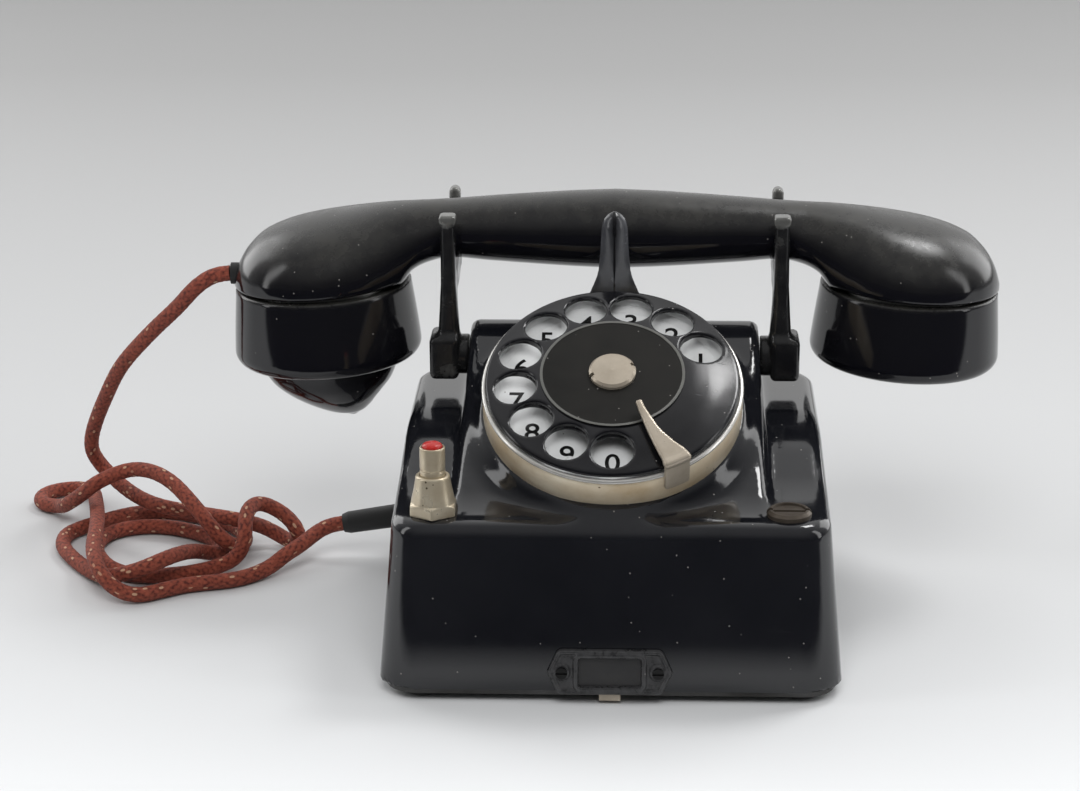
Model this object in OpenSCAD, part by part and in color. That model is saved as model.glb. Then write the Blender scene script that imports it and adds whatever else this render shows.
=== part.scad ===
// Desk telephone: a pressed steel casing with a sloping dial, a fork cradle that
// carries a moulded handset, and a braided cord between the two. Millimetres, +Z up,
// the origin is on the table under the middle of the casing.

/* [Casing] */
// Width of the casing at the bottom of its skirt
casing_w = 133; // [125:1:150]
// Depth of the casing at the bottom of its skirt
casing_d = 132; // [128:1:145]
// Height of the ledge in front of the dial
ledge_z = 54; // [50:1:58]
// Height of the flat shoulders beside the tower
shoulder_z = 68; // [65:1:71]
// Height of the ridge on top of the tower
ridge_z = 90; // [88:1:93]
// Width of the tower
tower_w = 88.6; // [84:0.2:92]
// Thickness of the casing's sheet steel
wall = 1.8; // [1.2:0.1:2.2]
// Radius of the upright corners
corner_r = 10; // [6:0.5:12]
// Radius of the rounded upper edges
edge_r = 4; // [2:0.5:5]
// How far each side leans in over its height, per mm of height
side_draft = 0.075; // [0.04:0.005:0.1]

/* [Base] */
// Height of the rubber feet under the base plate
foot_h = 2.5; // [2:0.1:4]
// Diameter of a rubber foot
foot_d = 14; // [10:0.5:16]
// Thickness of the base plate
plate_t = 1.5; // [1.2:0.1:2.5]
// Diameter of the base screws
base_screw_d = 3.5; // [3:0.1:4]

/* [Dial] */
// Tilt of the dial from the horizontal
dial_tilt = 28; // [24:1:32]
// Diameter of the nickelled dial case
case_d = 77; // [74:0.5:80]
// Height of the dial case
case_h = 11; // [9:0.5:12]
// Diameter of the finger wheel
wheel_d = 75; // [70:0.5:76]
// Thickness of the finger wheel
wheel_t = 1.8; // [1.4:0.1:2.2]
// Diameter of a finger hole
hole_d = 12.6; // [11:0.2:13.2]
// Radius of the circle of finger holes
hole_circle_r = 28.8; // [28:0.1:29]
// Angle between two finger holes
hole_pitch = 27.3; // [26.8:0.1:28]
// Diameter of the centre disc
disc_d = 41; // [38:0.5:42]
// Diameter of the centre cap
cap_d = 13.8; // [11:0.2:16]
// Diameter of the dial spindle
spindle_d = 6; // [5:0.2:7]

/* [Cradle] */
// Distance of each fork from the middle of the telephone
fork_x = 51; // [50:0.5:53]
// Thickness of a fork
fork_t = 4.6; // [4:0.1:5]
// Height of the prong tips
prong_tip_z = 124.8; // [120:0.2:128]
// How far the cradle rises when the handset is lifted
cradle_travel = 6; // [4:0.5:6]

/* [Handset] */
// Distance between the axes of the two handset caps
cap_spacing = 183.2; // [176:0.2:190]
// Height of the middle of the grip above the table
grip_z = 115.9; // [115.5:0.1:118]
// Height of the grip at its middle
grip_mid_h = 24.4; // [22:0.2:25]
// Depth of the grip at its middle
grip_mid_d = 28; // [26:0.5:28]
// Height of the grip where the forks carry it
grip_neck_h = 18; // [17:0.2:20]
// Depth of the grip where the forks carry it
grip_neck_d = 23; // [20:0.5:24]
// Radius of a cap at the joint with the handset
cap_top_r = 27.5; // [26:0.1:28.5]
// Radius of a cap near its lower edge
cap_low_r = 29.6; // [28:0.1:31]
// Height of a cap
cap_h = 24.5; // [22:0.5:26]
// Tilt of the caps towards each other
head_tilt = 3; // [0:0.5:5]

/* [Button and ledge fittings] */
// Distance of the button and the plug from the sides of the ledge
fitting_x = 11.3; // [10:0.1:13]
// Diameter of the button's plunger
plunger_d = 7.4; // [6.6:0.1:7.8]
// How far the button travels
button_travel = 4; // [3:0.1:4.5]
// Height of the button's housing above the ledge
housing_h = 11.8; // [10:0.1:13]
// Width across the flats of the button's housing
housing_af = 13; // [12.4:0.1:13.4]
// Diameter of the blanking plug
plug_d = 13; // [12.4:0.1:14]

/* [Ringer] */
// Diameter of a gong
gong_d = 34; // [30:0.5:35]
// Height of a gong
gong_h = 12; // [9:0.5:14]
// Swing of the clapper to each side
clapper_swing = 5; // [3:0.5:6]

/* [Cord] */
// Diameter of the braided cord
cord_d = 5; // [4.4:0.1:5.2]

/* [Hidden] */

// Clearances: between bodies that move past each other, of a shaft in its bush, and of a screw in its hole
clear = 0.4;
run_fit = 0.05;
screw_fit = 0.15;
// A hair's gap under a piece that is seated on a sloping wall
seat_gap = 0.02;
// A cutter reaches this far past the faces that it opens
past = 1;

// Casing, its slopes and the lines where its faces meet
skirt_z = foot_h + plate_t;
front_lean = 0.07;
rear_lean = 0.34;
ridge_y = 16;
ridge_depth = 8;
tower_draft = 0.0375;
shoulder_lean = 2.44;
shoulder_edge_y = -11.3;
function half_w(z) = casing_w / 2 - side_draft * (z - skirt_z);
function front_y(z) = -casing_d / 2 + front_lean * (z - skirt_z);
function rear_y(z) = casing_d / 2 - rear_lean * (z - skirt_z);

// Dial: the foot of its axis lies on the casing's round collar
collar_h = 4.1;
dial_down = 39.7;
dial_y = ridge_y - dial_down * cos(dial_tilt) - collar_h * sin(dial_tilt);
dial_z = ridge_z - dial_down * sin(dial_tilt) + collar_h * cos(dial_tilt);
collar_r = case_d / 2;
collar_flare = 10;
aperture_r = collar_r - 4.4;
case_wall = 1.2;
stop_angle = -58;
first_hole_angle = 25;
dial_screw_r = collar_r - 3.1;
dial_screw_d = 1.6;
dial_screw_head_d = 2.4;
dial_screw_angles = [60, 180, 300];
wheel_z = case_h + clear;
wheel_rise = 2.3;
hub_r = disc_d / 2 + 0.8;
disc_z = wheel_z + wheel_rise + wheel_t;
disc_t = 0.5;
numbers_z = 7;
numbers_t = 0.8;
mech_t = 2;
bridge_z = -22;
gear_z = -8;
gear_t = 2;
gear_module = 0.6;
main_teeth = 60;
pulse_teeth = 12;
pulse_gear_teeth = 40;
governor_teeth = 10;
pulse_angle = 150;
governor_angle = 250;
pulse_r = gear_module * (main_teeth + pulse_teeth) / 2;
pulse_gear_z = -13;
governor_reach = gear_module * (pulse_gear_teeth + governor_teeth) / 2;
arbor_d = 3;
bridge_r = 31;
bridge_post_r = 28;
bridge_post_angles = [20, 100, 225, 320];

// Cradle
yoke_y = ridge_y + 3.8;
yoke_d = 7;
yoke_h = 6;
yoke_z = 74;
tower_half = tower_w / 2;
function tower_half_at(z) = tower_half + tower_draft * (ridge_z - z);
bracket_gap = clear;
block_z = yoke_z - 1;
fork_inner_x = tower_half_at(block_z) + bracket_gap;
block_t = 9;
block_h = 13.5;
block_d = 14;
guide_x = 27;
guide_d = 5;
bracket_top_z = 60;
bracket_t = 2;
cradle_spring_d = 8.4;
cradle_wire_d = 1;
cradle_coils = 5;

// Handset
handset_y = 34;
head_x = cap_spacing / 2;
joint_z = 98.5;
prong_gap = 3.2;
saddle_z = grip_z - grip_neck_h / 2 - clear;
cap_wall = 3;
capsule_r = cap_top_r - cap_wall - clear;
gland_d = 6.8;
gland_len = 4;

// Ledge fittings
fitting_y = front_y(ledge_z) + 10;
neck_d = 9;
nut_t = 3;
nut_af = 11;
plunger_show = 8.5;

// Ringer
gong_z = 20;
gong_wall = 1.5;
gong_y = rear_y(gong_z + gong_h) - wall - gong_d / 2 - 0.7;
clapper_reach = 27;
clapper_y = gong_y - clapper_reach;
ball_r = 3;
ball_gap = 1.6;
gong_x = gong_d / 2 + ball_r + ball_gap + clapper_reach * sin(clapper_swing);
clapper_z = gong_z + 3;

// Label on the front of the skirt
label_w = 35;
label_h = 13.4;
label_z = 10.2;
label_hole_x = 14;

// Sleeve of the cord in the left wall
sleeve_y = 46;
sleeve_z = 16;
sleeve_slope = 9.3;
sleeve_d = 7.6;
sleeve_len = 23.5;
sleeve_out = [-cos(sleeve_slope), 0, -sin(sleeve_slope)];
sleeve_root = [-half_w(sleeve_z), sleeve_y, sleeve_z];
sleeve_end = sleeve_root + sleeve_len * sleeve_out;

// Route of the cord: from the handset's gland to the table, round its loose loops and into the sleeve
cord_low = cord_d / 2 + 0.2;
gland_x = -head_x - cap_top_r - 1.5;
gland_z = joint_z + 2.2;
cord_route = [
    [gland_x - clear, handset_y, gland_z], [-126.2, 34, 100.1], [-132.5, 35, 95.5], [-138.5, 38, 88.5],
    [-149.5, 45, 77], [-161, 55, 63], [-169, 66, 48.5], [-175.5, 76, 34.5], [-178, 81, 25.5],
    [-177, 84, 20], [-174, 84, 16], [-168, 79, 12.5], [-160.5, 71, 11], [-153, 65, 10.5],
    [-145, 62, 10], [-136.5, 58.5, 10], [-128, 54, 10.5], [-121.5, 52, 10], [-116, 56, 6.5],
    [-111, 56, 3.5], [-107, 52.5, cord_low], [-103.5, 48, 5], [-104, 47, 9], [-107.5, 50, 12.5],
    [-112, 50.5, 15.5], [-116.5, 50.5, 17.5], [-119, 46, 18], [-120, 39, 17], [-119.5, 34, 14],
    [-120, 32, 9.5], [-123, 32.5, 4.5], [-129, 30, cord_low], [-135.5, 25.5, cord_low],
    [-142.5, 23, cord_low], [-150, 22, cord_low], [-157, 23.5, cord_low], [-163.5, 29, cord_low],
    [-168, 37, cord_low], [-171, 46, cord_low], [-170.5, 55.5, cord_low], [-166.5, 62, cord_low],
    [-159, 65.5, cord_low], [-151, 65.5, cord_low], [-142.5, 62, cord_low], [-135, 56.5, cord_low],
    [-130, 50, cord_low], [-128.5, 44, cord_low], [-131.5, 40, 3.5], [-135, 33, 7],
    [-138, 23, 10.5], [-142, 16, 11.5], [-146.5, 12.5, 10.5], [-152, 11.5, 8.5], [-158, 13, 6.5],
    [-163.5, 18, 4], [-171, 28, cord_low], [-178, 38.5, cord_low], [-182.5, 48, cord_low],
    [-183, 58, cord_low], [-178.5, 64.5, cord_low], [-173.5, 70, cord_low], [-168, 75, cord_low],
    [-161, 79, cord_low], [-151.5, 79, cord_low], [-142, 76, cord_low], [-133.5, 71.5, cord_low],
    [-127, 65, cord_low], [-123, 57.5, cord_low], [-122.5, 47, 4], [-125, 38.5, 7], [-129.5, 38, 11],
    [-134, 40.5, 16], [-139.5, 46, 20], [-145, 52, 23], [-151, 57.5, 24.5], [-158, 63.5, 24],
    [-164, 66, 22.5], [-169.5, 63.5, 21], [-174, 61.5, 19], [-179, 65, 14], [-185.5, 72, 8],
    [-190, 82, 3.5], [-196, 85, cord_low], [-199, 91.5, cord_low], [-196.5, 98, cord_low],
    [-190, 101.5, cord_low], [-184, 99, 3.5], [-180.5, 92.5, 4.5], [-177.5, 81, 7], [-172.5, 58.5, 9.5],
    [-169.5, 40, 11], [-167.5, 24.5, 11.5], [-164, 11, 11], [-160, 5, 8], [-155.5, 5, 4],
    [-150, 5.5, cord_low], [-144, 9.5, cord_low], [-137, 14.5, cord_low], [-129.5, 17, cord_low],
    [-121.5, 19.5, cord_low], [-115, 25, cord_low], [-109.5, 30, 4], [-107.5, 31.5, 6],
    [-102, 36.5, 8], [-97.5, 43, 10], sleeve_end + cord_d * sleeve_out, sleeve_end
];

// A rounded rectangle, and an arc of points about a centre
function arc(cx, cy, r, a0, a1, n = 6) = [
    for (i = [0:n]) let (a = a0 + (a1 - a0) * i / n) [cx + r * cos(a), cy + r * sin(a)]
];
function round_rect(x0, x1, y0, y1, r) = concat(
    arc(x1 - r, y1 - r, r, 0, 90), arc(x0 + r, y1 - r, r, 90, 180),
    arc(x0 + r, y0 + r, r, 180, 270), arc(x1 - r, y0 + r, r, 270, 360)
);

// A closed skin over rings of points, each ring with as many points as the next
module loft(rings) {
    n = len(rings[0]);
    m = len(rings);
    middle_0 = [for (k = [0:2]) [for (p = rings[0]) p[k]] * [for (p = rings[0]) 1] / n];
    middle_1 = [for (k = [0:2]) [for (p = rings[m - 1]) p[k]] * [for (p = rings[0]) 1] / n];
    points = concat([for (ring = rings) each ring], [middle_0, middle_1]);
    sides = [for (i = [0:m - 2], j = [0:n - 1]) let (a = i * n + j, b = i * n + (j + 1) % n) each
        [[a, b, b + n], [a, b + n, a + n]]];
    ends = [for (j = [0:n - 1]) let (k = (j + 1) % n) each
        [[m * n, k, j], [m * n + 1, (m - 1) * n + j, (m - 1) * n + k]]];
    polyhedron(points, concat(sides, ends));
}

// Things in the dial's own frame: z along its axis, y up the slope
module on_dial() {
    translate([0, dial_y, dial_z]) rotate([dial_tilt, 0, 0]) children();
}
module both_sides() {
    children();
    mirror([1, 0, 0]) children();
}
// A round shape from its outline of radius and height
module turned(outline) {
    rotate_extrude($fn = 96) polygon(outline);
}
module tube(r_out, r_in, h) {
    difference() {
        cylinder(r = r_out, h = h, $fn = 64);
        translate([0, 0, -past]) cylinder(r = r_in, h = h + 2 * past, $fn = 64);
    }
}
// A machine screw: its head below z = 0 and its shank above
module screw(d, length, head_d, head_h) {
    cylinder(d = d, h = length, $fn = 32);
    translate([0, 0, -head_h]) difference() {
        cylinder(d = head_d, h = head_h, $fn = 32);
        translate([-head_d, -d / 8, -past]) cube([2 * head_d, d / 4, head_h / 2 + past]);
    }
}

// Casing: lower box, shoulders, tower and the dial's collar, each drawn in by inset for the hollow inside
slab_t = 0.01;
module slab(x, y0, y1, z, r) {
    translate([0, 0, z]) linear_extrude(slab_t) polygon(round_rect(-x, x, y0, y1, r));
}
// Slabs that round the top edge of a box at height z with an edge radius of e, inside its leaning rear wall
module crown(x, y0, y1, z, r, e) {
    for (a = [0, 30, 60, 90]) let (draw = e * (1 - cos(a)), rear_draw = max(draw, rear_lean * e * sin(a)))
        slab(x - draw, y0 + draw, y1 - rear_draw, z - e * (1 - sin(a)) - slab_t, r - draw * 0.9);
}
module lower_box(inset, drop) {
    e = edge_r - inset;
    top = ledge_z - inset;
    brim = top - e;
    low = skirt_z - drop;
    hull() {
        slab(half_w(low) - inset, front_y(low) + inset, rear_y(low) - inset, low, corner_r - inset);
        crown(half_w(brim) - inset, front_y(brim) + inset, rear_y(brim) - inset, top, corner_r - inset, e);
    }
}
module shoulders(inset) {
    e = edge_r - inset;
    top = shoulder_z - inset;
    brim = top - e;
    low = ledge_z - edge_r;
    foot_y = max(shoulder_edge_y - shoulder_lean * (shoulder_z - low), front_y(low) + edge_r);
    hull() {
        slab(half_w(low) - inset, foot_y + inset, rear_y(low) - inset, low, edge_r);
        crown(half_w(brim) - inset, shoulder_edge_y + inset / 2, rear_y(brim) - inset, top,
            corner_r - inset, e);
    }
}
module tower(inset) {
    e = edge_r - inset;
    top = ridge_z - inset;
    low = ledge_z - edge_r;
    face_y = max(ridge_y - (ridge_z - low) / tan(dial_tilt), front_y(low) + slab_t);
    front = ridge_y - edge_r + inset / 2;
    back = ridge_y + ridge_depth + edge_r / 2 - inset / 2;
    hull() {
        slab(tower_half_at(low) - inset, face_y + inset / sin(dial_tilt), rear_y(low) - inset, low, edge_r);
        crown(tower_half - inset, front, back, top, edge_r, e);
    }
}
module collar(inset) {
    r = collar_r - inset;
    sweep = arc(r + collar_flare, -past - inset, collar_flare, 180, 270);
    foot = [[r + collar_flare, -collar_flare - 3], [0, -collar_flare - 3]];
    flare = concat([[0, -inset], [r, -inset]], sweep, foot);
    intersection() {
        on_dial() turned(flare);
        translate([-casing_w / 2, -casing_d / 2, 0])
            cube([casing_w, casing_d / 2 + ridge_y - inset, 2 * ridge_z]);
    }
}
module casing_form(inset, drop) {
    lower_box(inset, drop);
    shoulders(inset);
    tower(inset);
    collar(inset);
}
post_grip = 9.5;
post_top = skirt_z + post_grip + 4.5;
post_x = half_w(post_top) - wall - 3.6;
post_y = casing_d / 2 - 30;
module at_posts() {
    for (x = [-post_x, post_x], y = [-post_y, post_y]) translate([x, y, 0]) children();
}
module at_dial_screws() {
    on_dial() for (a = dial_screw_angles) rotate([0, 0, a]) translate([dial_screw_r, 0, 0]) children();
}
module at_ledge(side) {
    translate([side * (half_w(ledge_z) - fitting_x), fitting_y, ledge_z]) children();
}
horn_screw_x = 6;
horn_y = ridge_y + ridge_depth / 2;
grommet_x = 30;
grommet_z = 16;
grommet_r = 4;
module on_front(x, z) {
    translate([x, front_y(z) - seat_gap, z]) rotate([90 - atan(front_lean), 0, 0]) children();
}
module along_sleeve() {
    translate(sleeve_root) rotate([0, 90 + sleeve_slope, 180]) children();
}
module at_grommet() {
    translate([grommet_x, rear_y(grommet_z) + seat_gap, grommet_z])
        rotate([-90 + atan(rear_lean), 0, 0]) children();
}
module casing() {
    slot_h = yoke_h + cradle_travel + 2 * clear;
    color([0.06, 0.06, 0.07]) difference() {
        union() {
            difference() {
                casing_form(0, 0);
                casing_form(wall, past);
            }
            at_posts() translate([0, 0, skirt_z]) cylinder(r = 4.5, h = post_top - skirt_z, $fn = 48);
        }
        at_posts() translate([0, 0, skirt_z - past])
            cylinder(d = base_screw_d + 2 * run_fit, h = post_grip + 2 * past, $fn = 48);
        for (side = [-1, 1]) at_ledge(side) translate([0, 0, -wall - past])
            cylinder(d = neck_d + 2 * screw_fit, h = wall + 2 * past, $fn = 48);
        on_dial() translate([0, 0, -wall - past]) cylinder(r = aperture_r, h = wall + 2 * past, $fn = 96);
        at_dial_screws() translate([0, 0, -wall - past])
            cylinder(d = dial_screw_d + 2 * screw_fit, h = wall + 2 * past, $fn = 32);
        translate([-casing_w / 2, yoke_y - yoke_d / 2 - clear, yoke_z - clear])
            cube([casing_w, yoke_d + 2 * clear, slot_h]);
        for (x = [-horn_screw_x, horn_screw_x]) translate([x, horn_y, ridge_z - wall - past])
            cylinder(d = base_screw_d + 2 * screw_fit, h = wall + 2 * past, $fn = 32);
        for (x = [-label_hole_x, label_hole_x]) on_front(x, label_z) translate([0, 0, -wall - past])
            cylinder(d = 2 + 2 * screw_fit, h = wall + 2 * past, $fn = 32);
        along_sleeve() translate([0, 0, -2 * wall]) cylinder(d = sleeve_d, h = 4 * wall, $fn = 48);
        at_grommet() translate([0, 0, -2 * wall])
            cylinder(r = grommet_r + screw_fit, h = 4 * wall, $fn = 48);
    }
}

// Base: sheet plate under the skirt, rubber feet snapped into it and screws up into the casing's posts
plate_inset = 0.8;
feet_x = casing_w / 2 - foot_d / 2 - 4;
feet_y = casing_d / 2 - foot_d / 2 - 4;
foot_stem_d = 5;
module at_feet() {
    for (x = [-feet_x, feet_x], y = [-feet_y, feet_y]) translate([x, y, 0]) children();
}
module base_plate() {
    x = casing_w / 2 - plate_inset;
    y = casing_d / 2 - plate_inset;
    color([0.22, 0.22, 0.22]) difference() {
        translate([0, 0, foot_h]) linear_extrude(plate_t)
            polygon(round_rect(-x, x, -y, y, corner_r - plate_inset));
        at_feet() cylinder(d = foot_stem_d, h = 2 * skirt_z, $fn = 32);
        at_posts() cylinder(d = base_screw_d + 2 * screw_fit, h = 2 * skirt_z, $fn = 32);
    }
}
module rubber_feet() {
    lip = foot_stem_d / 2 + 1;
    color([0.05, 0.05, 0.05]) at_feet() turned([
        [0, 0], [foot_d / 2 - 1, 0], [foot_d / 2, 0.6], [foot_d / 2, foot_h], [foot_stem_d / 2, foot_h],
        [foot_stem_d / 2, skirt_z], [lip, skirt_z], [lip, skirt_z + 0.5], [0, skirt_z + 1.6]
    ]);
}
module base_screws() {
    color([0.6, 0.58, 0.52]) at_posts() translate([0, 0, foot_h])
        screw(base_screw_d, plate_t + post_grip, 2 * base_screw_d, 0.45 * base_screw_d);
}

// Label: a cast frame with a window, a blank card behind it and two round-headed screws
label_t = 1.6;
card_t = 0.5;
window_w = 18;
window_h = 8.6;
function octagon(w, h, cut) = [
    [-w / 2, -h / 2 + cut], [-w / 2 + cut, -h / 2], [w / 2 - cut, -h / 2], [w / 2, -h / 2 + cut],
    [w / 2, h / 2 - cut], [w / 2 - cut, h / 2], [-w / 2 + cut, h / 2], [-w / 2, h / 2 - cut]
];
module label_frame() {
    color([0.07, 0.07, 0.07]) on_front(0, label_z) difference() {
        linear_extrude(label_t) polygon(octagon(label_w, label_h, 4));
        translate([-window_w / 2, -window_h / 2, -past]) cube([window_w, window_h, label_t + 2 * past]);
        translate([-window_w / 2 - 1, -window_h / 2 - 1, -past])
            cube([window_w + 2, window_h + 2, card_t + past]);
        for (x = [-label_hole_x, label_hole_x]) translate([x, 0, -past])
            cylinder(d = 2 + 2 * screw_fit, h = label_t + 2 * past, $fn = 32);
    }
}
module label_card() {
    color([0.1, 0.1, 0.1]) on_front(0, label_z) translate([-window_w / 2 - 0.9, -window_h / 2 - 0.9, 0])
        cube([window_w + 1.8, window_h + 1.8, card_t]);
}
module label_screws() {
    color([0.3, 0.29, 0.27]) for (x = [-label_hole_x, label_hole_x]) on_front(x, label_z)
        translate([0, 0, label_t]) rotate([180, 0, 0]) screw(2, label_t + wall + 1, 3.4, 0.9);
}
// Catch: a nickelled strip under the label that clips the plate to the skirt
module front_catch() {
    y = -casing_d / 2 + plate_inset;
    color([0.85, 0.85, 0.83]) translate([-3.1, y - 1.2, 0]) {
        translate([0, 0, foot_h - 1.2]) cube([6.2, 14, 1.2]);
        translate([0, 0, foot_h - 1.2]) cube([6.2, 1.2, skirt_z - foot_h + 0.7]);
    }
}
// Grommet of the line lead, in the rear wall
module line_grommet() {
    color([0.05, 0.05, 0.05]) at_grommet() turned([
        [2, -wall - 1.5], [5.6, -wall - 1.5], [5.6, -wall], [grommet_r, -wall], [grommet_r, 0],
        [5.6, 0], [5.6, 1.2], [4.8, 2], [2, 2]
    ]);
}

// Horn in front of the grip: a cast finger on the ridge, bolted from inside
horn_tip_z = 126.7;
horn_half_w = 12;
horn_lean_y = 14.2;
module carrying_horn() {
    // Height, half width, half depth and place of each section
    sections = [
        [ridge_z, horn_half_w, 3.8, horn_y], [ridge_z + 2, horn_half_w - 1, 3.6, horn_y - 0.6],
        [ridge_z + 6, 9.2, 3.2, horn_y - 2.2], [ridge_z + 12, 7.6, 3, horn_lean_y + 1],
        [ridge_z + 16.5, 5.8, 2.9, horn_lean_y + 0.2],
        [ridge_z + 21, 4.6, 2.8, horn_lean_y], [horn_tip_z - 6, 4, 2.6, horn_lean_y],
        [horn_tip_z - 3, 3.6, 2.4, horn_lean_y], [horn_tip_z - 1, 2, 1.6, horn_lean_y],
        [horn_tip_z, 0.8, 0.8, horn_lean_y]
    ];
    color([0.06, 0.06, 0.06]) difference() {
        loft([for (s = sections) [for (a = [0:20:340]) [s[1] * cos(a), s[3] + s[2] * sin(a), s[0]]]]);
        for (x = [-horn_screw_x, horn_screw_x]) translate([x, horn_y, ridge_z - past])
            cylinder(d = base_screw_d + 2 * run_fit, h = 3.5 + past, $fn = 32);
    }
}
module horn_screws() {
    color([0.6, 0.58, 0.52]) for (x = [-horn_screw_x, horn_screw_x]) translate([x, horn_y, ridge_z - wall])
        screw(base_screw_d, wall + 3, 5, 1.4);
}

// Dial case: a drawn and nickelled cup whose floor stands on the casing's collar
module dial_case() {
    r_in = collar_r - case_wall;
    color([0.72, 0.66, 0.52]) difference() {
        on_dial() turned([
            [9, 0], [collar_r, 0], [collar_r, case_h - 0.5], [collar_r - 0.3, case_h],
            [r_in + 0.2, case_h], [r_in, case_h - 0.3], [r_in, case_wall], [9, case_wall]
        ]);
        at_dial_screws() translate([0, 0, -past])
            cylinder(d = dial_screw_d + 2 * run_fit, h = case_wall + 2 * past, $fn = 32);
    }
}
module dial_screws() {
    color([0.6, 0.58, 0.52]) at_dial_screws() translate([0, 0, -wall])
        screw(dial_screw_d, wall + case_wall - 0.2, dial_screw_head_d, 1);
}
// Number plate: a white enamelled pan on the floor of the case, its edge turned up towards the wheel
plate_r = collar_r - case_wall - 0.5;
plate_lip = 3.2;
module number_plate() {
    color([0.93, 0.92, 0.88]) on_dial() turned([
        [10, numbers_z], [plate_r - 3, numbers_z], [plate_r - 1, numbers_z + 0.4 * plate_lip],
        [plate_r - 0.4, numbers_z + plate_lip], [plate_r, numbers_z + plate_lip], [plate_r, case_wall],
        [plate_r - numbers_t, case_wall], [plate_r - numbers_t, numbers_z - numbers_t],
        [10, numbers_z - numbers_t]
    ]);
}
// Finger stop: a nickelled strip fixed to the band, bent over the wheel and tapered to a tip
stop_t = 1.4;
stop_w = 8;
stop_foot_z = 3;
stop_z = wheel_z + wheel_t + 2;
stop_tip_r = 15;
stop_slope = 7.4;
module finger_stop() {
    r = collar_r + stop_t;
    blade = [
        [0, -stop_w / 2], [-7, -3.6], [-14, -2.8], [-20, -1.8], [stop_tip_r - r, -0.7],
        [stop_tip_r - r - 0.3, 0.1], [stop_tip_r - r, 0.8], [-20, 0.3], [-14, 0.6], [-7, 2.2],
        [-2, stop_w / 2], [0, stop_w / 2]
    ];
    color([0.8, 0.78, 0.72]) on_dial() rotate([0, 0, stop_angle]) {
        intersection() {
            translate([0, 0, stop_foot_z]) tube(r, collar_r, stop_z + stop_t - stop_foot_z);
            translate([0, -stop_w / 2, 0]) cube([2 * r, stop_w, 2 * stop_z]);
        }
        translate([r, 0, stop_z]) rotate([0, stop_slope, 0]) linear_extrude(stop_t) polygon(blade);
    }
}
// Finger wheel: a dished and blackened disc with a row of finger holes
rim_r = wheel_d / 2;
bore_r = spindle_d / 2 + run_fit;
module finger_wheel() {
    hub_z = wheel_z + wheel_rise;
    color([0.05, 0.05, 0.06]) on_dial() difference() {
        turned([
            [bore_r, hub_z], [hub_r, hub_z], [hub_r + 6, wheel_z + wheel_rise * 0.6],
            [rim_r - 3, wheel_z + 0.2], [rim_r - 0.6, wheel_z], [rim_r, wheel_z + 0.6],
            [rim_r - 0.2, wheel_z + wheel_t - 0.5],
            [rim_r - 0.8, wheel_z + wheel_t], [rim_r - 3, wheel_z + wheel_t + 0.2],
            [hub_r + 6, wheel_z + wheel_t + wheel_rise * 0.6], [hub_r, disc_z], [bore_r, disc_z]
        ]);
        for (i = [0:9]) rotate([0, 0, first_hole_angle + i * hole_pitch])
            translate([hole_circle_r, 0, wheel_z - past])
                cylinder(d = hole_d, h = wheel_rise + wheel_t + 2 * past, $fn = 64);
    }
}
module disc_ring() {
    color([0.6, 0.6, 0.6]) on_dial() translate([0, 0, disc_z]) tube(hub_r, disc_d / 2, disc_t + 0.1);
}
module centre_disc() {
    color([0.1, 0.09, 0.08]) on_dial() translate([0, 0, disc_z]) tube(disc_d / 2, bore_r, disc_t);
}
// Centre cap: a nickelled nut with two notches for its spanner
cap_t = 1.6;
module centre_cap() {
    r = cap_d / 2;
    color([0.85, 0.82, 0.76]) on_dial() translate([0, 0, disc_z + disc_t]) difference() {
        turned([[0, 0], [r, 0], [r, cap_t - 0.7], [r - 0.7, cap_t], [0, cap_t + 0.3]]);
        for (a = [20, 200]) rotate([0, 0, a]) translate([r - 1.2, -0.6, -past])
            cube([3, 1.2, cap_t + 2 * past]);
    }
}
module dial_spindle() {
    low = bridge_z - mech_t;
    color([0.7, 0.7, 0.7]) on_dial() translate([0, 0, low])
        cylinder(d = spindle_d, h = disc_z + disc_t - low, $fn = 64);
}

// A spur gear with straight-sided teeth that keep a little play in mesh
module spur(teeth, turn) {
    r = gear_module * teeth / 2;
    tip = r + 0.75 * gear_module;
    root = r - 1.2 * gear_module;
    step = 360 / teeth;
    polygon([for (i = [0:teeth - 1]) each [
        for (q = [[root, -0.31], [tip, -0.11], [tip, 0.11], [root, 0.31]])
            let (a = turn + (i + q[1]) * step) [q[0] * cos(a), q[0] * sin(a)]
    ]]);
}
pulse_at = pulse_r * [cos(pulse_angle), sin(pulse_angle)];
governor_at = pulse_at + governor_reach * [cos(governor_angle), sin(governor_angle)];
module on_pulse() {
    on_dial() translate([pulse_at[0], pulse_at[1], 0]) children();
}
module on_governor() {
    on_dial() translate([governor_at[0], governor_at[1], 0]) children();
}
module drilled(d, h) {
    difference() {
        children();
        translate([0, 0, -h]) cylinder(d = d, h = 3 * h, $fn = 48);
    }
}
module main_gear() {
    color([0.75, 0.62, 0.3]) on_dial() translate([0, 0, gear_z]) drilled(2 * bore_r, gear_t + 2) {
        union() {
            linear_extrude(gear_t) spur(main_teeth, pulse_angle);
            cylinder(r = bore_r + 2, h = gear_t + 1, $fn = 48);
        }
    }
}
// Return spring in its drum, round the spindle under the plate
drum_r = 12;
module return_spring() {
    color([0.4, 0.42, 0.46]) on_dial() translate([0, 0, gear_z + gear_t + 1]) tube(drum_r, bore_r, 2.4);
}
module arbor() {
    translate([0, 0, bridge_z - mech_t]) cylinder(d = arbor_d, h = -bridge_z + mech_t, $fn = 48);
}
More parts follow.
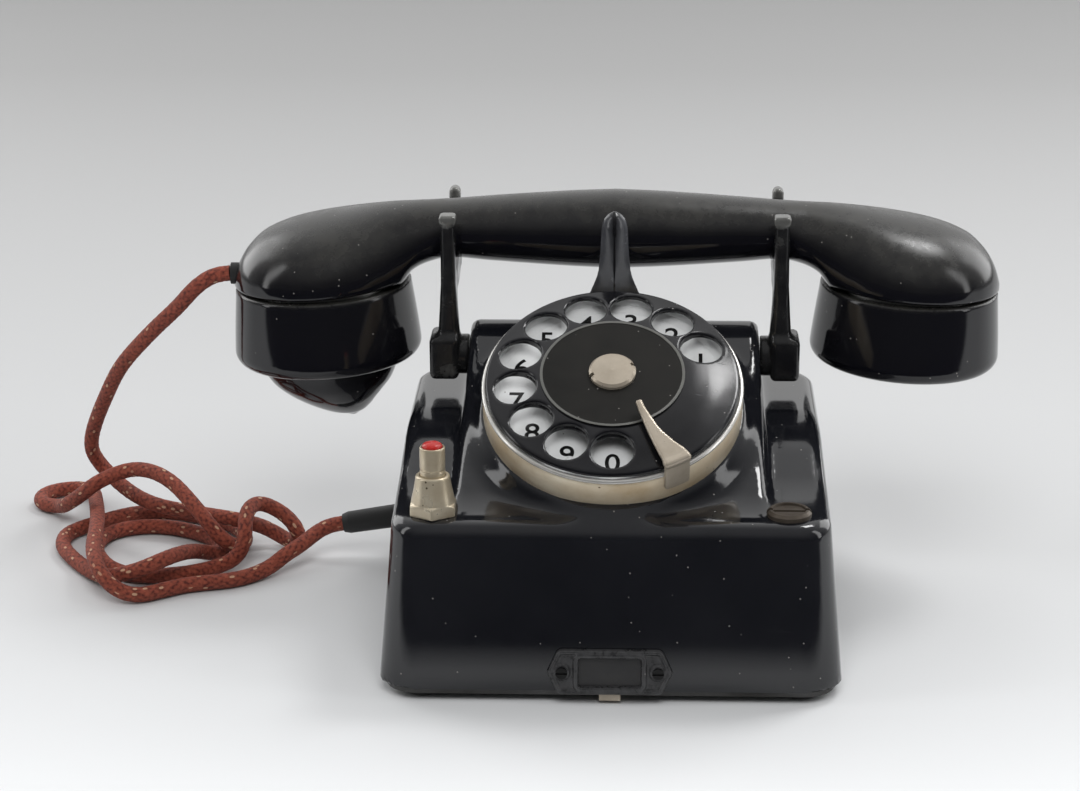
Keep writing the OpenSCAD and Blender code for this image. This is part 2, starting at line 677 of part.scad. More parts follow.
// Pulse wheel: pinion on the main gear, the gear that drives the governor, and the cam for the contacts
module pulse_wheel() {
    color([0.75, 0.62, 0.3]) on_pulse() {
        arbor();
        translate([0, 0, gear_z - 0.5]) linear_extrude(gear_t + 1)
            spur(pulse_teeth, pulse_angle + 180 + 180 / pulse_teeth);
        translate([0, 0, pulse_gear_z]) linear_extrude(gear_t) spur(pulse_gear_teeth, governor_angle);
        translate([0, 0, pulse_gear_z - 3]) cylinder(d = 8, h = 2.5, $fn = 48);
    }
}
module governor() {
    color([0.7, 0.6, 0.35]) on_governor() {
        arbor();
        translate([0, 0, pulse_gear_z - 0.5]) linear_extrude(gear_t + 1)
            spur(governor_teeth, governor_angle + 180 + 180 / governor_teeth);
        for (a = [0, 180]) rotate([0, 0, a]) translate([0, -1.5, bridge_z + 1.2]) cube([6, 3, 4]);
    }
}
module governor_cup() {
    color([0.72, 0.6, 0.32]) on_governor() translate([0, 0, bridge_z]) tube(8.6, 7.2, 6);
}
module dial_mechanism_plate() {
    color([0.55, 0.55, 0.55]) difference() {
        on_dial() translate([0, 0, -mech_t]) cylinder(r = aperture_r - screw_fit, h = mech_t, $fn = 96);
        on_dial() translate([0, 0, -mech_t - past])
            cylinder(d = spindle_d + 2 * run_fit, h = mech_t + 2 * past, $fn = 64);
        on_pulse() translate([0, 0, -mech_t - past])
            cylinder(d = arbor_d + 2 * run_fit, h = mech_t + 2 * past, $fn = 48);
        on_governor() translate([0, 0, -mech_t - past])
            cylinder(d = arbor_d + 2 * run_fit, h = mech_t + 2 * past, $fn = 48);
    }
}
module mechanism_bridge() {
    color([0.55, 0.55, 0.55]) difference() {
        on_dial() {
            translate([0, 0, bridge_z - mech_t]) cylinder(r = bridge_r, h = mech_t, $fn = 96);
            for (a = bridge_post_angles) rotate([0, 0, a]) translate([bridge_post_r, 0, bridge_z - mech_t])
                cylinder(r = 2.2, h = -bridge_z, $fn = 32);
        }
        on_dial() translate([0, 0, bridge_z - mech_t - past])
            cylinder(d = spindle_d + 2 * run_fit, h = mech_t + 2 * past, $fn = 64);
        on_pulse() translate([0, 0, bridge_z - mech_t - past])
            cylinder(d = arbor_d + 2 * run_fit, h = mech_t + 2 * past, $fn = 48);
        on_governor() translate([0, 0, bridge_z - mech_t - past])
            cylinder(d = arbor_d + 2 * run_fit, h = mech_t + 2 * past, $fn = 48);
    }
}
module pulse_contacts() {
    color([0.45, 0.3, 0.15]) on_dial() rotate([0, 0, 62]) translate([21, -4, -mech_t - 12]) {
        cube([9, 8, 12]);
        translate([-0.5, 8, 2]) cube([0.5, 9, 4]);
        translate([-0.5, 2, 2]) cube([0.5, 6, 4]);
        translate([3, 8, 2]) cube([0.5, 9, 4]);
    }
}

// Cradle: a yoke across the inside of the tower, a fork on each end, and springs that lift it
module cradle_yoke() {
    color([0.5, 0.5, 0.5]) {
        translate([-fork_inner_x, yoke_y - yoke_d / 2, yoke_z]) cube([2 * fork_inner_x, yoke_d, yoke_h]);
        for (x = [-guide_x, guide_x]) translate([x, yoke_y, bracket_top_z - 14])
            cylinder(d = guide_d, h = yoke_z - bracket_top_z + 14, $fn = 48);
    }
}
prong_d = 5.4;
prong_front_y = handset_y - grip_neck_d / 2 - prong_gap;
prong_rear_y = handset_y + grip_neck_d / 2 + prong_gap;
// The front leg widens from the prong's thickness to its foot on the block
leg_d = prong_d + 1.6;
leg_foot_t = 6.8;
module fork() {
    f = prong_front_y;
    r = prong_rear_y;
    t = prong_tip_z;
    s = saddle_z;
    block_x = fork_x - 3;
    block_top = block_z + block_h;
    outline = [
        [f - prong_d, block_top - 1], [f - prong_d, t - 1.2], [f - prong_d + 1.2, t], [f - 1, t], [f, t - 1],
        [f, s + 1.5], [f + 1.5, s], [r - 1.5, s], [r, s + 1.5], [r, t - 1], [r + 1, t],
        [r + prong_d - 1.2, t], [r + prong_d, t - 1.2], [r + prong_d, s - 3], [r + prong_d - 3, s - 7],
        [r - 4, s - 8.5], [f + 9, s - 8.5], [f + 4, s - 11],
        [f - prong_d + leg_d, s - 15], [f - prong_d + leg_d, block_top - 1]
    ];
    hull() for (end = [[fork_t, s - 4], [leg_foot_t, block_top - 1]])
        translate([fork_x - end[0] / 2, f - prong_d, end[1]]) cube([end[0], leg_d, 1]);
    translate([fork_x - fork_t / 2, 0, 0]) rotate([90, 0, 90]) linear_extrude(fork_t) polygon(outline);
    translate([0, yoke_y + block_d / 2 - 1, 0]) rotate([90, 0, 0]) linear_extrude(block_d)
        polygon(round_rect(block_x, block_x + block_t, block_z, block_top, 2));
    translate([fork_inner_x, yoke_y - block_d / 2 + 1, block_z])
        cube([block_x - fork_inner_x + 1, block_d - 2, block_h - 1]);
}
module left_fork() {
    color([0.1, 0.1, 0.1]) mirror([1, 0, 0]) fork();
}
module right_fork() {
    color([0.1, 0.1, 0.1]) fork();
}
// A coil spring standing on z = 0, flat-ended inside its height
module coil_spring(d, wire, h, turns) {
    r = (d - wire) / 2;
    steps = turns * 10;
    rise = (h - wire) / steps;
    slope = atan(rise * 10 / (2 * PI * r));
    loft([for (i = [0:steps]) let (a = i * 36, z = wire / 2 + i * rise) [for (q = [0:60:300])
        let (out = r + wire / 2 * cos(q), high = wire / 2 * sin(q))
        let (up = z + high * cos(slope), back = high * sin(slope))
            [out * cos(a) + back * sin(a), out * sin(a) - back * cos(a), up]]]);
}
module cradle_springs() {
    color([0.6, 0.6, 0.62]) for (x = [-guide_x, guide_x]) translate([x, yoke_y, bracket_top_z])
        coil_spring(cradle_spring_d, cradle_wire_d, yoke_z - bracket_top_z, cradle_coils);
}
// Bracket on the base plate that guides the yoke and carries the hook switch
bracket_half = 41;
bracket_d = 12;
module cradle_bracket() {
    y = yoke_y - bracket_d / 2;
    color([0.5, 0.5, 0.5]) difference() {
        union() {
            translate([-bracket_half, y, bracket_top_z - bracket_t])
                cube([2 * bracket_half, bracket_d, bracket_t]);
            for (x = [-bracket_half, bracket_half - bracket_t]) translate([x, y, skirt_z])
                cube([bracket_t, bracket_d, bracket_top_z - skirt_z]);
        }
        for (x = [-guide_x, guide_x]) translate([x, yoke_y, bracket_top_z - bracket_t - past])
            cylinder(d = guide_d + 2 * run_fit, h = bracket_t + 2 * past, $fn = 48);
    }
}
module hook_switch() {
    color([0.45, 0.3, 0.15]) translate([-6, yoke_y + bracket_d / 2 - 8, bracket_top_z]) {
        cube([12, 8, 6]);
        for (z = [2, 4]) translate([-14, 2, z]) cube([14, 4, 0.5]);
    }
}

// Button on the ledge: turned housing, nut below, plunger with a red tip, spring and contacts
button_reach = 14;
tip_d = 6;
stem_d = 3;
module button_housing() {
    color([0.72, 0.64, 0.5]) at_ledge(-1) difference() {
        union() {
            cylinder(d = housing_af / cos(30), h = 5, $fn = 6);
            turned([
                [0, 0], [housing_af / 2, 0], [housing_af / 2, 7.4], [5.7, housing_h - 0.4], [5.3, housing_h],
                [0, housing_h]
            ]);
            translate([0, 0, -button_reach - 1.5]) cylinder(d = neck_d, h = button_reach + 1.5, $fn = 48);
        }
        translate([0, 0, -button_reach])
            cylinder(d = plunger_d + 2 * run_fit, h = button_reach + housing_h + past, $fn = 48);
        translate([0, 0, -button_reach - 1.5 - past]) cylinder(d = stem_d + 2 * run_fit, h = 4, $fn = 48);
    }
}
spring_h = 8;
module button_plunger() {
    low = spring_h - button_reach;
    top = housing_h + plunger_show;
    color([0.78, 0.74, 0.66]) at_ledge(-1) difference() {
        union() {
            translate([0, 0, low]) cylinder(d = plunger_d, h = top - low, $fn = 48);
            translate([0, 0, -button_reach - 3]) cylinder(d = stem_d, h = button_reach + 4, $fn = 48);
        }
        translate([0, 0, top - 1.5]) cylinder(d = tip_d + 2 * run_fit, h = 3, $fn = 48);
    }
}
module button_tip() {
    top = housing_h + plunger_show - 1.5;
    r = tip_d / 2;
    color([0.75, 0.08, 0.06]) at_ledge(-1) translate([0, 0, top])
        turned([[0, 0], [r, 0], [r, 1.5], [r * 0.85, 2.3], [r * 0.5, 2.8], [0, 3]]);
}
module button_spring() {
    color([0.6, 0.6, 0.62]) at_ledge(-1) translate([0, 0, -button_reach])
        coil_spring(plunger_d - 0.6, 0.8, spring_h, 4);
}
module hex_nut() {
    difference() {
        cylinder(d = nut_af / cos(30), h = nut_t, $fn = 6);
        translate([0, 0, -past]) cylinder(d = neck_d + 2 * run_fit, h = nut_t + 2 * past, $fn = 48);
    }
}
module button_nut() {
    color([0.7, 0.66, 0.55]) at_ledge(-1) translate([0, 0, -wall - nut_t]) hex_nut();
}
module button_contacts() {
    plate_z = -wall - nut_t - 1.5;
    leaf_z = -button_reach - 3 - button_travel - 1;
    color([0.45, 0.3, 0.15]) at_ledge(-1) {
        translate([0, 0, plate_z]) tube(7, neck_d / 2 + run_fit, 1.5);
        translate([5.4, -3, leaf_z - 4]) cube([1.5, 6, plate_z - leaf_z + 5]);
        translate([-4, -2, leaf_z - 0.5]) cube([10, 4, 0.5]);
        translate([-4, -2, leaf_z - 3]) cube([10, 4, 0.5]);
    }
}
// Blanking plug in the other ledge hole
module blanking_plug() {
    r = plug_d / 2;
    color([0.45, 0.36, 0.22]) at_ledge(1) difference() {
        turned([
            [0, -wall - nut_t - 1], [neck_d / 2, -wall - nut_t - 1], [neck_d / 2, 0], [r, 0], [r, 1.2],
            [r - 0.8, 2], [r - 1.6, 2], [r - 1.8, 1.4], [0, 1.4]
        ]);
        translate([-plug_d, -0.7, 0.7]) cube([2 * plug_d, 1.4, 2]);
    }
}
module plug_nut() {
    color([0.7, 0.66, 0.55]) at_ledge(1) translate([0, 0, -wall - nut_t]) hex_nut();
}

// Handset: one moulding whose barrel-shaped grip swells into a round head at each end.
// From the middle outwards: top, half depth, widest height and underside of its sections
grip_half_h = grip_mid_h / 2;
neck_half_h = grip_neck_h / 2;
neck_x = fork_x;
end_x = head_x + cap_top_r;
function joint_at(x) = joint_z - (x - head_x) * tan(head_tilt);
function swell(x, mid, neck) = mid - (mid - neck) * pow(min(x, neck_x) / neck_x, 1.3);
function top_at(x) = x <= neck_x ? grip_z + swell(x, grip_half_h, neck_half_h) : lookup(x, [
    [neck_x, grip_z + neck_half_h], [head_x - 24, grip_z + neck_half_h - 1], [head_x - 7, joint_z + 23],
    [head_x + 7, joint_z + 20.2], [head_x + 17.5, joint_z + 16.4], [head_x + 23, joint_z + 11.5],
    [head_x + 26, joint_z + 6.5], [end_x - 0.4, joint_z + 3.5], [end_x, joint_z + 2]
]);
function half_depth_at(x) = x <= neck_x ? swell(x, grip_mid_d / 2, grip_neck_d / 2) : lookup(x, [
    [neck_x, grip_neck_d / 2], [head_x - 34, grip_neck_d / 2 + 0.6], [head_x - 28, grip_neck_d / 2 + 3],
    [head_x - 21, cap_top_r * 0.68], [head_x - 14, cap_top_r * 0.86], [head_x - 7, cap_top_r * 0.967],
    [head_x, cap_top_r], [head_x + 7, cap_top_r * 0.967], [head_x + 14, cap_top_r * 0.86],
    [head_x + 20, cap_top_r * 0.69],
    [head_x + 24, cap_top_r * 0.49], [head_x + 26.3, cap_top_r * 0.29], [end_x, cap_top_r * 0.14]
]);
function head_low_at(x) = lookup(x, [
    [neck_x, grip_z - neck_half_h], [head_x - 34, grip_z - neck_half_h - 1], [head_x - 29, joint_z + 5.6],
    [head_x - 26.5, joint_z + 2.4], [head_x - 24, joint_z]
]);
function low_at(x) =
    x <= neck_x ? grip_z - swell(x, grip_half_h, neck_half_h) : max(joint_at(x), head_low_at(x));
function wide_at(x) = max(low_at(x) + 0.6, lookup(x, [
    [neck_x, grip_z], [head_x - 27, joint_z + 11], [head_x - 16, joint_z + 5], [end_x, joint_z + 1]
]));
function low_power(x) = lookup(x, [[neck_x, 1], [head_x - 20, 0.5], [end_x, 0.4]]);
function raised(v, p) = sign(v) * pow(abs(v), p);
function grip_section(x) = let (
    u = abs(x), t = top_at(u), w = wide_at(u), l = low_at(u), d = half_depth_at(u), p = low_power(u)
) [for (a = [0:15:345]) let (c = cos(a), s = sin(a), q = s < 0 ? p : 1)
        [x, handset_y + d * raised(c, q), s < 0 ? w + (w - l) * raised(s, q) : w + (t - w) * s]];
grip_stations = [
    0, 12, 24, 36, neck_x - 5, neck_x + 2, head_x - 34, head_x - 30, head_x - 26, head_x - 22, head_x - 18,
    head_x - 13, head_x - 7, head_x, head_x + 7, head_x + 13, head_x + 18, head_x + 22, head_x + 24.5,
    head_x + 26.4, end_x
];
module at_head(side) {
    translate([side * head_x, handset_y, joint_z]) rotate([0, side * head_tilt, 0]) children();
}
module at_gland() {
    translate([gland_x, handset_y, gland_z]) rotate([0, 90, 0]) children();
}
capsule_z = 3;
module handset_grip() {
    last = len(grip_stations) - 1;
    xs = concat([for (i = [last:-1:1]) -grip_stations[i]], grip_stations);
    color([0.07, 0.06, 0.06]) difference() {
        loft([for (x = xs) grip_section(x)]);
        for (side = [-1, 1]) at_head(side) translate([0, 0, -past])
            cylinder(r = capsule_r + clear, h = capsule_z + past, $fn = 64);
        at_gland() cylinder(d = gland_d + 2 * run_fit, h = gland_len, $fn = 48);
    }
}
// Caps: turned shells that screw onto the heads, with a floor for the capsule
cap_floor = 3;
module cap_shell() {
    turned([
        [cap_top_r - cap_wall, 0], [cap_top_r, 0], [cap_top_r + 0.3, -2],
        [(cap_top_r + cap_low_r) / 2, -cap_h / 2], [cap_low_r, -cap_h + 6], [cap_low_r - 0.3, -cap_h + 3.6],
        [cap_low_r - 1.4, -cap_h + 1.4],
        [cap_low_r - 3.4, -cap_h + 0.2], [cap_low_r - 5, -cap_h], [0, -cap_h], [0, -cap_h + cap_floor],
        [cap_top_r - cap_wall, -cap_h + cap_floor]
    ]);
}
module receiver_cap() {
    color([0.05, 0.05, 0.05]) at_head(1) difference() {
        cap_shell();
        translate([0, 0, -cap_h - past]) cylinder(d = 3, h = cap_floor + 2 * past, $fn = 32);
        for (a = [0:60:300]) rotate([0, 0, a]) translate([8, 0, -cap_h - past])
            cylinder(d = 3, h = cap_floor + 2 * past, $fn = 32);
    }
}
hood_r = 21.5;
hood_neck_r = 17;
module transmitter_cap() {
    color([0.05, 0.05, 0.05]) at_head(-1) difference() {
        cap_shell();
        translate([0, 0, -cap_h - past])
            cylinder(r = hood_neck_r + run_fit, h = cap_floor + 2 * past, $fn = 64);
    }
}
module capsule() {
    translate([0, 0, -cap_h + cap_floor])
        cylinder(r = capsule_r, h = cap_h - cap_floor + capsule_z - clear, $fn = 64);
}
module receiver_capsule() {
    color([0.6, 0.6, 0.58]) at_head(1) capsule();
}
module transmitter_capsule() {
    color([0.6, 0.6, 0.58]) at_head(-1) capsule();
}
// Mouthpiece: a hollow hood under the transmitter cap, open towards the middle of the handset
hood_depth = 20;
hood_shift = 6;
hood_wall = 2;
hood_mouth_d = 15;
module hood(inset) {
    // Share of the depth, of the sideways shift and of the radius
    sections = [
        [0, 0, 1], [0.16, 0.03, 0.97], [0.32, 0.08, 0.9], [0.52, 0.2, 0.74], [0.72, 0.42, 0.52],
        [0.87, 0.68, 0.31], [0.96, 0.88, 0.15], [1, 1, 0.05]
    ];
    scale_in = (hood_r - inset) / hood_r;
    loft([for (s = sections) [for (a = [0:15:345]) [
        (hood_shift * s[1] + hood_r * s[2] * cos(a)) * scale_in, hood_r * s[2] * sin(a) * scale_in,
        -cap_h - (hood_depth - inset) * s[0]
    ]]]);
}
module mouthpiece() {
    color([0.05, 0.05, 0.05]) at_head(-1) difference() {
        union() {
            hood(0);
            translate([0, 0, -cap_h - hood_wall / 2])
                cylinder(r = hood_neck_r, h = hood_wall / 2 + cap_floor - clear, $fn = 64);
        }
        translate([0, 0, -hood_wall]) hood(2 * hood_wall);
        translate([0, 0, -cap_h - hood_wall - past])
            cylinder(r = hood_neck_r - hood_wall, h = cap_floor + hood_wall + 2 * past, $fn = 64);
        translate([12, 0, -cap_h - hood_depth * 0.48]) rotate([0, 128, 0])
            cylinder(d = hood_mouth_d, h = 20, $fn = 48);
    }
}
module cord_gland() {
    color([0.06, 0.06, 0.06]) at_gland() cylinder(d = gland_d, h = gland_len, $fn = 48);
}

// Ringer on the base plate: frame with posts, two gongs, coils and a clapper between the gongs
ringer_t = 2;
post_d = 6;
pivot_len = 8;
gong_screw_len = 7;
module ringer_frame() {
    top = gong_z + gong_h - gong_wall;
    color([0.5, 0.5, 0.5]) {
        translate([-gong_x - post_d, clapper_y - coil_len - post_d, skirt_z])
            cube([2 * (gong_x + post_d), clapper_reach + coil_len + 2 * post_d, ringer_t]);
        for (x = [-gong_x, gong_x]) translate([x, gong_y, skirt_z]) difference() {
            cylinder(d = post_d, h = top - skirt_z, $fn = 32);
            translate([0, 0, top - skirt_z - gong_screw_len - 1])
                cylinder(d = base_screw_d + 2 * run_fit, h = gong_screw_len + 1 + past, $fn = 32);
        }
        translate([0, clapper_y, skirt_z]) difference() {
            cylinder(d = post_d, h = clapper_z - 2 - skirt_z, $fn = 32);
            translate([0, 0, clapper_z - pivot_len - skirt_z])
                cylinder(d = arbor_d + 2 * run_fit, h = pivot_len, $fn = 32);
        }
    }
}
module gongs() {
    r = gong_d / 2;
    color([0.75, 0.7, 0.55]) for (x = [-gong_x, gong_x]) translate([x, gong_y, gong_z]) turned([
        [base_screw_d / 2 + screw_fit, gong_h], [r * 0.5, gong_h], [r * 0.85, gong_h * 0.7], [r, 0],
        [r - gong_wall, 0], [r * 0.85 - gong_wall, gong_h * 0.65], [r * 0.5 - 0.5, gong_h - gong_wall],
        [base_screw_d / 2 + screw_fit, gong_h - gong_wall]
    ]);
}
module gong_screws() {
    color([0.6, 0.58, 0.52]) for (x = [-gong_x, gong_x]) translate([x, gong_y, gong_z + gong_h])
        rotate([180, 0, 0]) screw(base_screw_d, gong_wall + gong_screw_len, 7, 1.8);
}
coil_d = 13;
coil_len = 20;
module ringer_coils() {
    color([0.5, 0.25, 0.12]) for (x = [-coil_d / 2 - 1, coil_d / 2 + 1])
        translate([x, clapper_y - 5, skirt_z + ringer_t + coil_d / 2]) rotate([90, 0, 0])
            cylinder(d = coil_d, h = coil_len, $fn = 48);
}
// Clapper: an arm on an upright pivot, with a ball that meets either gong
module clapper() {
    color([0.7, 0.66, 0.5]) {
        translate([0, clapper_y, clapper_z - pivot_len + 1]) cylinder(d = arbor_d, h = pivot_len, $fn = 32);
        translate([-3, clapper_y - 3, clapper_z - 1.6]) cube([6, 6, 3.2]);
        translate([0, clapper_y, clapper_z]) rotate([-90, 0, 0])
            cylinder(d = 1.6, h = gong_y - clapper_y, $fn = 24);
        translate([0, gong_y, clapper_z]) sphere(r = ball_r, $fn = 32);
    }
}
// Electrical parts on the front of the base plate: a coil, a capacitor and the terminals between them
bay_x = casing_w / 2 - 16.5;
bay_y = -casing_d / 2 + 20;
winding_len = 28;
winding_d = 15;
cheek = [2, 18, 18];
can = [32, 20, 26];
block = [28, 12, 9];
terminal_d = 2.6;
terminal_step = 5;
module induction_coil() {
    color([0.35, 0.2, 0.1]) translate([-bay_x, bay_y, skirt_z]) {
        for (x = [0, cheek[0] + winding_len]) translate([x, 0, 0]) cube(cheek);
        translate([cheek[0], cheek[1] / 2, cheek[2] / 2]) rotate([0, 90, 0])
            cylinder(d = winding_d, h = winding_len, $fn = 48);
    }
}
module capacitor() {
    color([0.6, 0.6, 0.55]) translate([bay_x - can[0], bay_y, skirt_z]) cube(can);
}
module terminal_block() {
    color([0.25, 0.14, 0.07]) translate([-block[0] / 2, bay_y, skirt_z]) difference() {
        cube(block);
        for (i = [-2:2]) translate([block[0] / 2 + i * terminal_step, block[1] / 2, block[2] / 2])
            cylinder(d = terminal_d, h = block[2], $fn = 24);
    }
}

// Sleeve: tapered rubber where the cord enters the left wall
module cord_sleeve() {
    r = sleeve_d / 2;
    color([0.08, 0.08, 0.08]) along_sleeve() turned([
        [0, -3 * wall], [r - 0.1, -3 * wall], [r - 0.1, 0], [r, 2 * wall], [r - 0.2, sleeve_len - 2],
        [r - 0.8, sleeve_len], [0, sleeve_len]
    ]);
}
// Cord: a smooth curve through its route, swept as one tube
cord_step = 2.6 * cord_d;
cord_sides = 8;
function spline(p, i, t) = let (
    a = p[max(i - 1, 0)], b = p[i], c = p[i + 1], d = p[min(i + 2, len(p) - 1)]
) 0.5 * (2 * b + (c - a) * t + (2 * a - 5 * b + 4 * c - d) * t * t + (3 * b - a - 3 * c + d) * t * t * t);
cord_path = [
    for (i = [0:len(cord_route) - 2])
        let (k = max(1, round(norm(cord_route[i + 1] - cord_route[i]) / cord_step)))
            for (j = [0:k - 1]) spline(cord_route, i, j / k),
    cord_route[len(cord_route) - 1]
];
function unit(v) = v / norm(v);
function heading(p, i) = unit(p[min(i + 1, len(p) - 1)] - p[max(i - 1, 0)]);
function total(v, i = 0) = i < len(v) ? v[i] + total(v, i + 1) : 0;
cord_length = total([for (i = [1:len(cord_path) - 1]) norm(cord_path[i] - cord_path[i - 1])]);
cord_gap = min([
    for (i = [0:len(cord_path) - 1], j = [i + 1:1:len(cord_path) - 1])
        if ((j - i) * cord_step > 6 * cord_d) norm(cord_path[i] - cord_path[j]) - cord_d
]);
module cord() {
    echo(cord_length = cord_length, cord_rings = len(cord_path), cord_gap = cord_gap);
    color([0.45, 0.13, 0.1]) loft([for (i = [0:len(cord_path) - 1])
        let (t = heading(cord_path, i), side = unit(cross(t, [0, 0, 1])), up = cross(side, t))
            [for (a = [0:360 / cord_sides:359])
                cord_path[i] + cord_d / 2 * (cos(a) * side + sin(a) * up)]]);
}

casing();
base_plate();
rubber_feet();
base_screws();
label_frame();
label_card();
label_screws();
front_catch();
line_grommet();
carrying_horn();
horn_screws();
dial_case();
dial_screws();
dial_mechanism_plate();
number_plate();
finger_stop();
finger_wheel();
disc_ring();
centre_disc();
centre_cap();
dial_spindle();
main_gear();
return_spring();
mechanism_bridge();
pulse_wheel();
governor();
governor_cup();
pulse_contacts();
cradle_yoke();
left_fork();
right_fork();
cradle_springs();
cradle_bracket();
hook_switch();
button_housing();
button_plunger();
button_tip();
button_spring();
button_nut();
button_contacts();
blanking_plug();
plug_nut();
handset_grip();
receiver_cap();
transmitter_cap();
receiver_capsule();
transmitter_capsule();
mouthpiece();
cord_gland();
ringer_frame();
gongs();
gong_screws();
ringer_coils();
clapper();
induction_coil();
capacitor();
terminal_block();
cord_sleeve();
cord();
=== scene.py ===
import math

import bpy
import numpy as np
from mathutils import Matrix, Vector


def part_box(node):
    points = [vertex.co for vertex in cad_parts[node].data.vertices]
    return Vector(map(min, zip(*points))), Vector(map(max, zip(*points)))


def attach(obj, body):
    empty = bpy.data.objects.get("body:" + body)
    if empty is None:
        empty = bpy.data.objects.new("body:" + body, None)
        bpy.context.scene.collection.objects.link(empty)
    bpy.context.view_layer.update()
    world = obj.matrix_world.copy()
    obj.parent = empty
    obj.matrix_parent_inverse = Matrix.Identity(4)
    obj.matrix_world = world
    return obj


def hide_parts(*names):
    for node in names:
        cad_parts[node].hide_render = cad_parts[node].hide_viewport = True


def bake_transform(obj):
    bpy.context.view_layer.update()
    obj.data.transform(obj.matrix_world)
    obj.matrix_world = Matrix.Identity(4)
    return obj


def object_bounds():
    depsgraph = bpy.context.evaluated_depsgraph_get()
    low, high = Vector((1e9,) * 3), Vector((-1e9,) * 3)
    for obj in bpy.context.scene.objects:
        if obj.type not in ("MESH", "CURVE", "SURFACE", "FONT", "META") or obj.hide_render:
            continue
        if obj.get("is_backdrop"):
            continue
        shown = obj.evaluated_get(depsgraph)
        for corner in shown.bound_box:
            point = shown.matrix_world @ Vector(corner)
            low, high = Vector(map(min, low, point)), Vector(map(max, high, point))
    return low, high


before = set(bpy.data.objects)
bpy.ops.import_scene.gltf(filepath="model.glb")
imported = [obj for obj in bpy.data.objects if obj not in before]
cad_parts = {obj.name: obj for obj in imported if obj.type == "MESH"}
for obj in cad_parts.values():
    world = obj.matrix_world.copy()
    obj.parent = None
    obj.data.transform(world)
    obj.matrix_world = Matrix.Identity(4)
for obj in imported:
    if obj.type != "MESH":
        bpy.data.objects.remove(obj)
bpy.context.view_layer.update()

# Camera: a long lens a little above the telephone, turned slightly to the left of it.
# Its place and angles were fitted to the corners of the casing and the rim of the dial.
MM = 0.001
photo_width = 1080
focal_pixels = 2853
camera_at = Vector((10.1, -823.6, 350.0)) * MM
camera_turn = math.radians(-2.26)
camera_drop = math.radians(18.62)
camera_roll = math.radians(-0.30)
look = Vector((
    math.sin(camera_turn) * math.cos(camera_drop),
    math.cos(camera_turn) * math.cos(camera_drop),
    -math.sin(camera_drop),
))
level = Vector((math.cos(camera_turn), -math.sin(camera_turn), 0))
rise = level.cross(look)
right = level * math.cos(camera_roll) + rise * math.sin(camera_roll)
top = right.cross(look)
lens = bpy.data.cameras.new("camera")
lens.sensor_fit = "HORIZONTAL"
lens.sensor_width = 36
lens.lens = focal_pixels / photo_width * lens.sensor_width
camera = bpy.data.objects.new("camera", lens)
camera.matrix_world = Matrix.Translation(camera_at) @ Matrix((right, top, -look)).transposed().to_4x4()
bpy.context.scene.collection.objects.link(camera)
bpy.context.scene.camera = camera
bpy.context.scene.view_settings.view_transform = "Standard"

# Studio: a pale paper floor, a small lamp high behind on the right, a broad one at each back corner,
# a tall narrow one at each side and a fill in front that doesn't show in what shines.
# The room is light behind the telephone and dark elsewhere.
# Edge of the floor's painted dark reflection: glossy rays see the paper near black in front of it.
dark_reflection_edge = -0.130


def node(tree, kind, inputs=None, **settings):
    made = tree.nodes.new(kind)
    for key, value in settings.items():
        setattr(made, key, value)
    for key, value in (inputs or {}).items():
        if isinstance(value, bpy.types.NodeSocket):
            tree.links.new(value, made.inputs[key])
        else:
            made.inputs[key].default_value = value
    return made


def span(tree, value, low, high, to_low=0.0, to_high=1.0):
    return node(tree, "ShaderNodeMapRange", {0: value, 1: low, 2: high, 3: to_low, 4: to_high}).outputs[0]


def mixed(tree, factor, first, second):
    return node(tree, "ShaderNodeMix", {0: factor, 6: first, 7: second}, data_type="RGBA").outputs[2]


def maths(tree, operation, first, second):
    return node(tree, "ShaderNodeMath", {0: first, 1: second}, operation=operation).outputs[0]


def new_material(name):
    material = bpy.data.materials.new(name)
    material.use_nodes = True
    return material, material.node_tree, material.node_tree.nodes["Principled BSDF"]


def plug(tree, shader, **values):
    for key, value in values.items():
        socket = shader.inputs[key.replace("_", " ")]
        if isinstance(value, bpy.types.NodeSocket):
            tree.links.new(value, socket)
        else:
            socket.default_value = value


world = bpy.data.worlds.new("studio")
world.use_nodes = True
bpy.context.scene.world = world
room = world.node_tree
direction = node(room, "ShaderNodeSeparateXYZ", {0: node(room, "ShaderNodeTexCoord").outputs["Generated"]})
behind = span(room, direction.outputs["Y"], -0.1, 0.75, 0.05, 0.85)
overhead = span(room, direction.outputs["Z"], 0.2, 1.0, 0.0, 0.35)
room_light = maths(room, "ADD", behind, overhead)
room_grey = node(room, "ShaderNodeCombineColor", {0: room_light, 1: room_light, 2: room_light})
plug(room, room.nodes["Background"], Color=room_grey.outputs[0])

floor_half = 6
floor_corners = [(x * floor_half, y * floor_half, 0) for x, y in ((-1, -1), (1, -1), (1, 1), (-1, 1))]
floor_mesh = bpy.data.meshes.new("floor")
floor_mesh.from_pydata(floor_corners, [], [(0, 1, 2, 3)])
floor = bpy.data.objects.new("floor", floor_mesh)
bpy.context.scene.collection.objects.link(floor)
paper, tree, shader = new_material("paper")
place = node(tree, "ShaderNodeSeparateXYZ", {0: node(tree, "ShaderNodeTexCoord").outputs["Object"]})
# The paper's colour darkens from front to back: a painted falloff of the light over the floor, not a change
# in the paper.
painted_falloff_near = mixed(tree, span(tree, place.outputs["Y"], -0.12, 0.06), (0.78, 0.79, 0.80, 1), (0.57, 0.575, 0.58, 1))
painted_falloff = mixed(tree, span(tree, place.outputs["Y"], 0.2, 0.8), painted_falloff_near, (0.44, 0.44, 0.44, 1))
